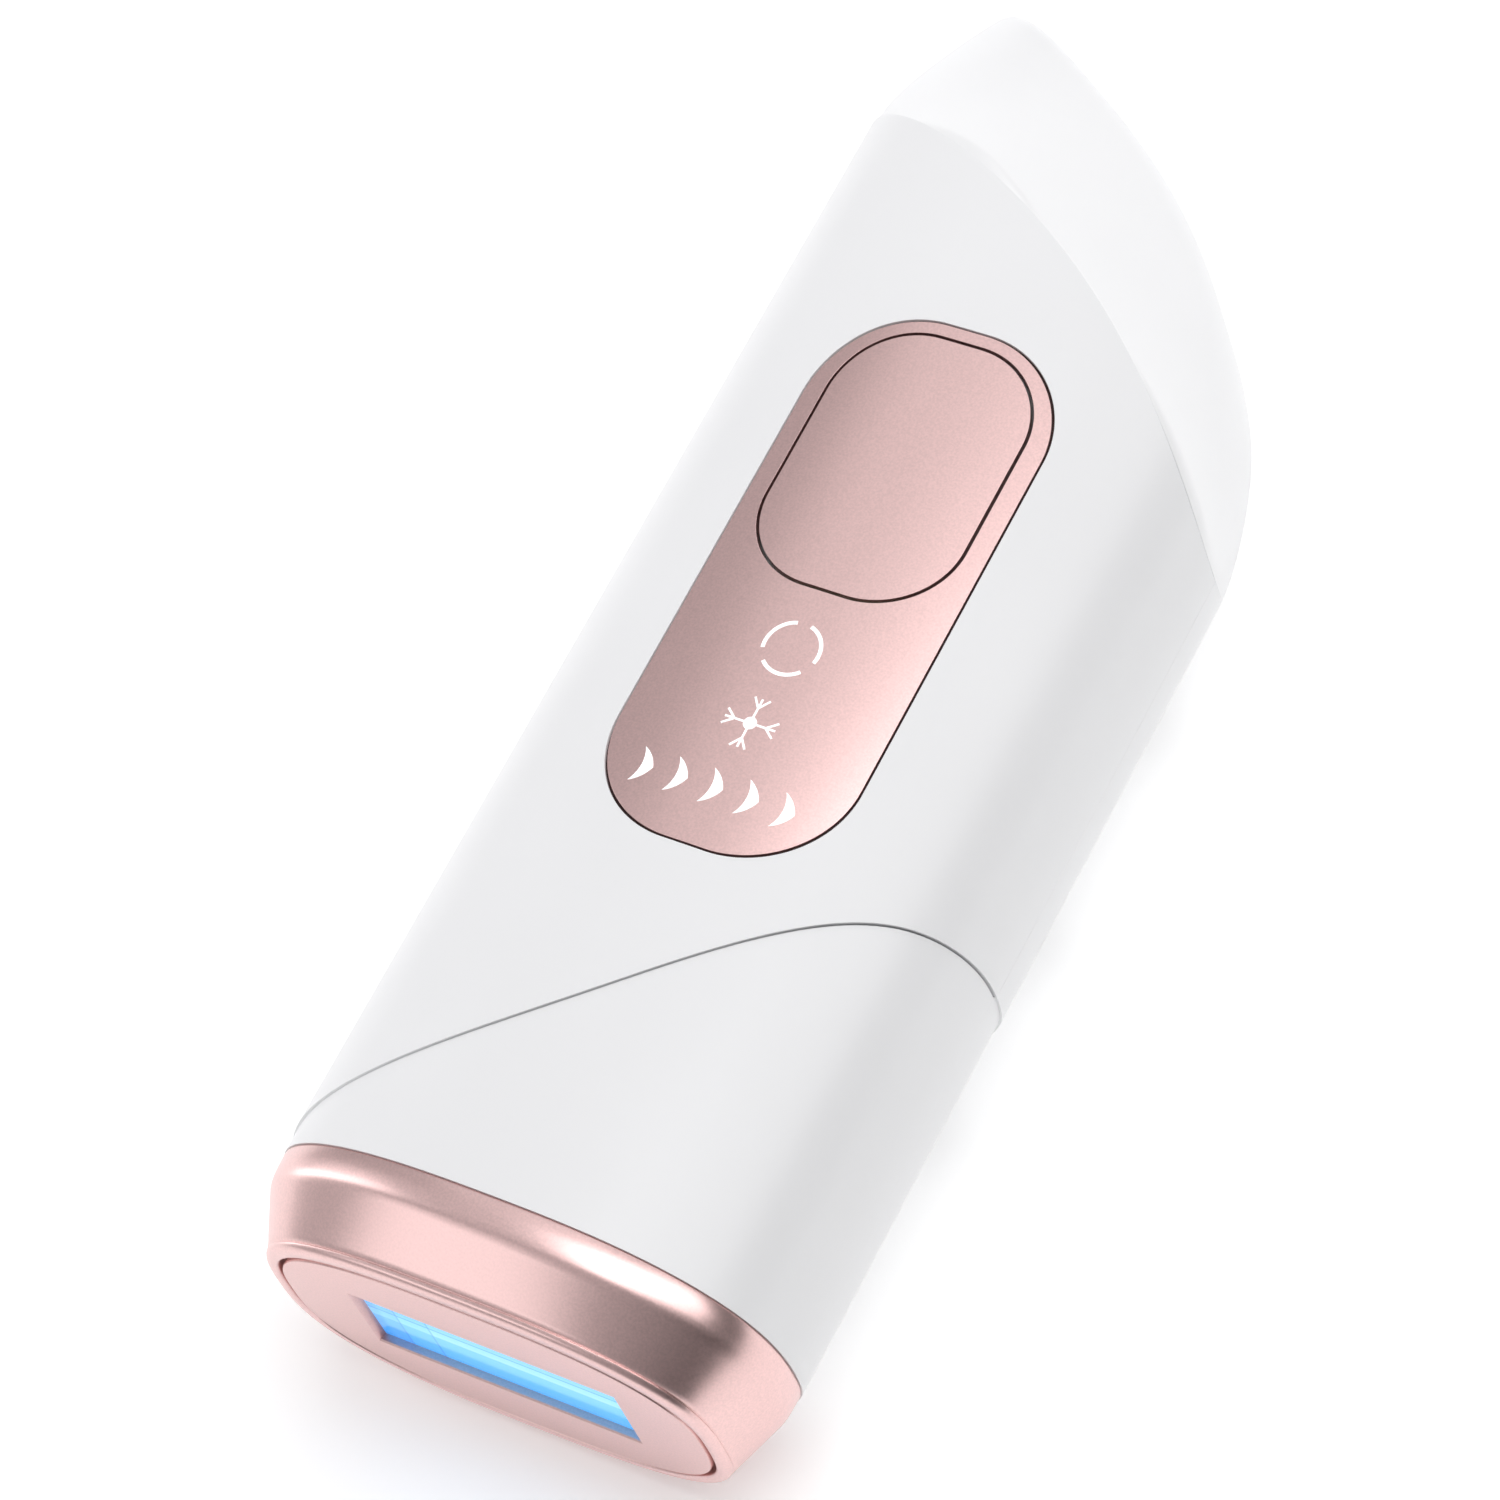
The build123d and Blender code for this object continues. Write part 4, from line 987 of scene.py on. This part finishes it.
class HAIR_REMOVER_OT_skin_plate(bpy.types.Operator):
    """Flat rose gold plate with the sunk treatment window"""

    bl_idname = "hair_remover.skin_plate"
    bl_label = "Skin plate"

    def execute(self, context):
        def box_reach(half_x, half_z, angles):
            return np.minimum(half_x / np.abs(np.cos(angles) + 1e-9), half_z / np.abs(np.sin(angles) + 1e-9))

        corner = np.arctan2(window_half_height, window_half_width)
        corners = [corner, pi - corner, corner - pi, -corner]
        angles = np.sort(np.concatenate([np.linspace(-pi, pi, 480, endpoint=False), corners]))

        def window(distance, grow_x, grow_z=None):
            grow_z = grow_x if grow_z is None else grow_z
            half_x, half_z = window_half_width + grow_x, window_half_height + grow_z
            out = box_reach(window_half_width, window_half_height, angles)
            x = out * np.cos(angles) / window_half_width * half_x
            return placed(x, distance, out * np.sin(angles) / window_half_height * half_z)

        def oval(distance, grow):
            half_x, half_z = plate_half_width + grow, plate_half_height + grow

            def inside(x, z):
                return (np.abs(x) / half_x) ** plate_roundness + (np.abs(z) / half_z) ** plate_roundness < 1

            out = reach(inside, angles, 60.0)
            return placed(out * np.cos(angles), distance, out * np.sin(angles))

        # Each row is a distance back from the skin face and how far it grows past the window or the plate.
        flange_start, flange_end, flange_reach = collar_lip + 0.05, 5.0, 0.5
        glass_x = glass_half_width - window_half_width + 0.05
        rows = [window(window_recess, -0.25, 0.0), window(0.2, -0.02), window(0.0, 0.2)]
        rows += [oval(0.0, -0.3), oval(0.06, -0.1), oval(0.25, 0.0), oval(flange_start, 0.0)]
        rows += [oval(flange_start, flange_reach), oval(flange_end, flange_reach)]
        rows += [window(flange_end, 2.3, 2.7), window(plate_back, 2.3, 2.7)]
        rows += [window(plate_back, glass_x), window(window_recess, glass_x)]
        piece = skin("skin_plate", np.stack(rows), close_rows=True, close_columns=True)
        piece.data.set_sharp_from_angle(angle=radians(35))
        fit(piece, "light_engine", "rose_gold_aluminium", "face_plate")
        return {"FINISHED"}


class HAIR_REMOVER_OT_tail_cap(bpy.types.Operator):
    """Tail cap: a slanted face that meets the curved end in a soft ridge"""

    bl_idname = "hair_remover.tail_cap"
    bl_label = "Tail cap"

    def execute(self, context):
        ridge_radius = sizes().ridge_radius / MM
        x, depth = body_oval(even_turns(601, 0, 2 * pi)[:-1])
        rim = np.stack([x, tail_edge(x), depth], -1)
        middle_x, middle_depth, seam_gap = -2.0, -2.0, 0.02
        centre = np.array([middle_x, float(tail_edge(middle_x)), middle_depth])
        towards_rim = rim - centre
        towards_tip = np.array([-0.42 * half_width, length - 12.0, -4.0]) - centre
        rows = []
        for share in np.linspace(0, 1, 121)[:-1]:
            aim = towards_rim * (1 - share) + towards_tip * share

            def inside(out, aim=aim):
                return outside_tail(centre + aim * out[:, None], ridge_radius) < 0

            out = furthest(inside, np.zeros(len(x)), np.full(len(x), 4.0))
            rows.append(centre + aim * out[:, None])
        rows = np.stack(rows)
        rows[0][:, 1] = tail_edge(rows[0][:, 0]) + seam_gap
        points = placed(rows[..., 0], rows[..., 1], rows[..., 2])
        tip = placed(*rows[-1].mean(axis=0))[None, :]
        piece = skin("tail_cover", points, close_columns=True, tip=tip)
        facing(piece, Vector((0, 1, 0)))
        thicken(piece, sizes().shell_wall)
        bore(piece, *inlet_outline(jack_recess_radius), jack_mouth, run=30.0)
        piece.data.set_sharp_from_angle(angle=radians(35))
        fit(piece, "handle", "white_abs", "tail_cap")
        return {"FINISHED"}


class HAIR_REMOVER_OT_inlet_boss(bpy.types.Operator):
    """Tube round the power inlet, moulded in one with the tail cap"""

    bl_idname = "hair_remover.inlet_boss"
    bl_label = "Inlet boss"

    def execute(self, context):
        ridge_radius = sizes().ridge_radius / MM
        root = jack_mouth - jack_boss_length
        below_skin, far_past_tip = 0.6, jack_mouth + 40.0

        def under_skin(x, depth):
            def buried(distance):
                return outside_tail(np.stack([x, distance, depth], -1), ridge_radius) < -below_skin

            return furthest(buried, np.full_like(x, root), np.full_like(x, far_past_tip))

        hole_x, hole_depth = inlet_outline(jack_recess_radius)
        wall_x, wall_depth = inlet_outline(jack_boss_radius)
        rows = [placed(hole_x, root, hole_depth), placed(hole_x, under_skin(hole_x, hole_depth), hole_depth)]
        rows += [placed(wall_x, under_skin(wall_x, wall_depth), wall_depth), placed(wall_x, root, wall_depth)]
        piece = skin("jack_boss", np.stack(rows), close_rows=True, close_columns=True)
        piece.data.set_sharp_from_angle(angle=radians(35))
        fit(piece, "handle", "white_abs")
        return {"FINISHED"}


# ------------------------------------------------------------------ stage, in metres and watts
softboxes = (  # name, place, size and power
    ("overhead", (0.36, 0.15, 1.0), (0.66, 1.3), 5.9),
    ("upper_left", (-0.20, 0.36, 0.98), (0.5, 1.2), 0.88),
    ("front_panel", (-0.5, -0.8, 0.72), (0.7, 0.30), 0.85),
    ("right_strip", (1.0, 0.0, 0.34), (0.25, 1.5), 0.1),
    ("back_panel", (0.1, 1.1, 0.6), (0.9, 0.5), 3.0),
    ("left_strip", (-1.0, -0.1, 0.2), (0.22, 1.6), 2.6),
)


class HAIR_REMOVER_OT_stage(bpy.types.Operator):
    """Floor, lights and camera"""

    bl_idname = "hair_remover.stage"
    bl_label = "Stage"

    def execute(self, context):
        self.add_floor(context.scene)
        self.add_room(context.scene)
        for softbox in softboxes:
            self.add_softbox(context.scene, *softbox)
        self.add_camera(context.scene)
        context.scene.view_settings.view_transform = "Standard"
        return {"FINISHED"}

    def add_floor(self, scene):
        """A wide sheet of white paper, lit a little from within so that it stays white."""
        half = 3.0
        mesh = bpy.data.meshes.new("floor")
        corners = [(-half, -half, 0), (half, -half, 0), (half, half, 0), (-half, half, 0)]
        mesh.from_pydata(corners, [], [(0, 1, 2, 3)])
        floor = bpy.data.objects.new("floor", mesh)
        scene.collection.objects.link(floor)
        paper, tree, shader = new_material("white_paper", Roughness=0.9)
        texture = grain(tree, 40.0)
        vary_colour(tree, shader, texture, shade(colours().floor, 0.995), colours().floor)
        shader.inputs["Emission Color"].default_value = linear("FFFFFF")
        shader.inputs["Emission Strength"].default_value = 0.25
        mesh.materials.append(paper)

    def add_room(self, scene):
        """A pale room that gets dimmer towards the right."""
        world = bpy.data.worlds.new("studio")
        scene.world = world
        world.use_nodes = True
        tree = world.node_tree
        background = tree.nodes["Background"]
        background.inputs["Color"].default_value = linear("F2F2F4")
        place = add_node(tree, "ShaderNodeTexCoord")
        axes = add_node(tree, "ShaderNodeSeparateXYZ", links={"Vector": place.outputs["Generated"]})
        fall = {"From Min": -0.2, "From Max": 0.9, "To Min": 0.51, "To Max": 0.08}
        dimmer = add_node(tree, "ShaderNodeMapRange", fall, {"Value": axes.outputs["X"]})
        tree.links.new(dimmer.outputs["Result"], background.inputs["Strength"])

    def add_softbox(self, scene, name, place, size, power):
        """A soft rectangular light aimed at the middle of the object."""
        lamp = bpy.data.lights.new(name, "AREA")
        lamp.shape = "RECTANGLE"
        lamp.size, lamp.size_y = size
        lamp.energy = power
        holder = bpy.data.objects.new(name, lamp)
        holder.location = place
        holder.rotation_euler = (-Vector(place)).to_track_quat("-Z", "Y").to_euler()
        scene.collection.objects.link(holder)

    def add_camera(self, scene):
        """A long lens that looks down over the treatment head, with the tail up and to the right."""
        camera = bpy.data.cameras.new("camera")
        camera.sensor_width = 36.0
        camera.lens = 140.31
        camera.clip_start, camera.clip_end = 0.01, 20.0
        holder = bpy.data.objects.new("camera", camera)
        right = Vector((0.85938, 0.45151, -0.24))
        down = Vector((0.2849, -0.81256, -0.5085))
        ahead = Vector((-0.42461, 0.36862, -0.82694))
        turn = Matrix((right, -down, -ahead)).transposed().to_4x4()
        from_window = Vector((0.29128, -0.17725, 0.58665))
        turn.translation = from_window + Vector((0, skin_y, axis_z)) * MM
        holder.matrix_world = turn
        scene.collection.objects.link(holder)
        scene.camera = holder


class HAIR_REMOVER_PT_pieces(bpy.types.Panel):
    """The pieces of the hair remover"""

    bl_idname = "HAIR_REMOVER_PT_pieces"
    bl_label = "Hair remover"
    bl_space_type = "VIEW_3D"
    bl_region_type = "UI"
    bl_category = "Hair remover"

    def draw(self, context):
        for group in (context.scene.hair_remover_sizes, context.scene.hair_remover_colours):
            for name in group.bl_rna.properties.keys():
                if name not in ("rna_type", "name"):
                    self.layout.prop(group, name)
        for operator in operators:
            self.layout.operator(operator.bl_idname)


operators = (
    HAIR_REMOVER_OT_stage,
    HAIR_REMOVER_OT_inner_parts,
    HAIR_REMOVER_OT_head_shell,
    HAIR_REMOVER_OT_handle_shell,
    HAIR_REMOVER_OT_tail_cap,
    HAIR_REMOVER_OT_inlet_boss,
    HAIR_REMOVER_OT_collar,
    HAIR_REMOVER_OT_skin_plate,
    HAIR_REMOVER_OT_decor_panel,
    HAIR_REMOVER_OT_icons,
    HAIR_REMOVER_OT_button,
)
groups = (HairRemoverSizes, HairRemoverColours)


def register():
    for kind in groups + operators + (HAIR_REMOVER_PT_pieces,):
        bpy.utils.register_class(kind)
    bpy.types.Scene.hair_remover_sizes = bpy.props.PointerProperty(type=HairRemoverSizes)
    bpy.types.Scene.hair_remover_colours = bpy.props.PointerProperty(type=HairRemoverColours)


def unregister():
    del bpy.types.Scene.hair_remover_sizes
    del bpy.types.Scene.hair_remover_colours
    for kind in reversed(groups + operators + (HAIR_REMOVER_PT_pieces,)):
        bpy.utils.unregister_class(kind)


def main():
    register()
    for operator in operators:
        family, name = operator.bl_idname.split(".")
        getattr(getattr(bpy.ops, family), name)()


if __name__ == "__main__":
    main()
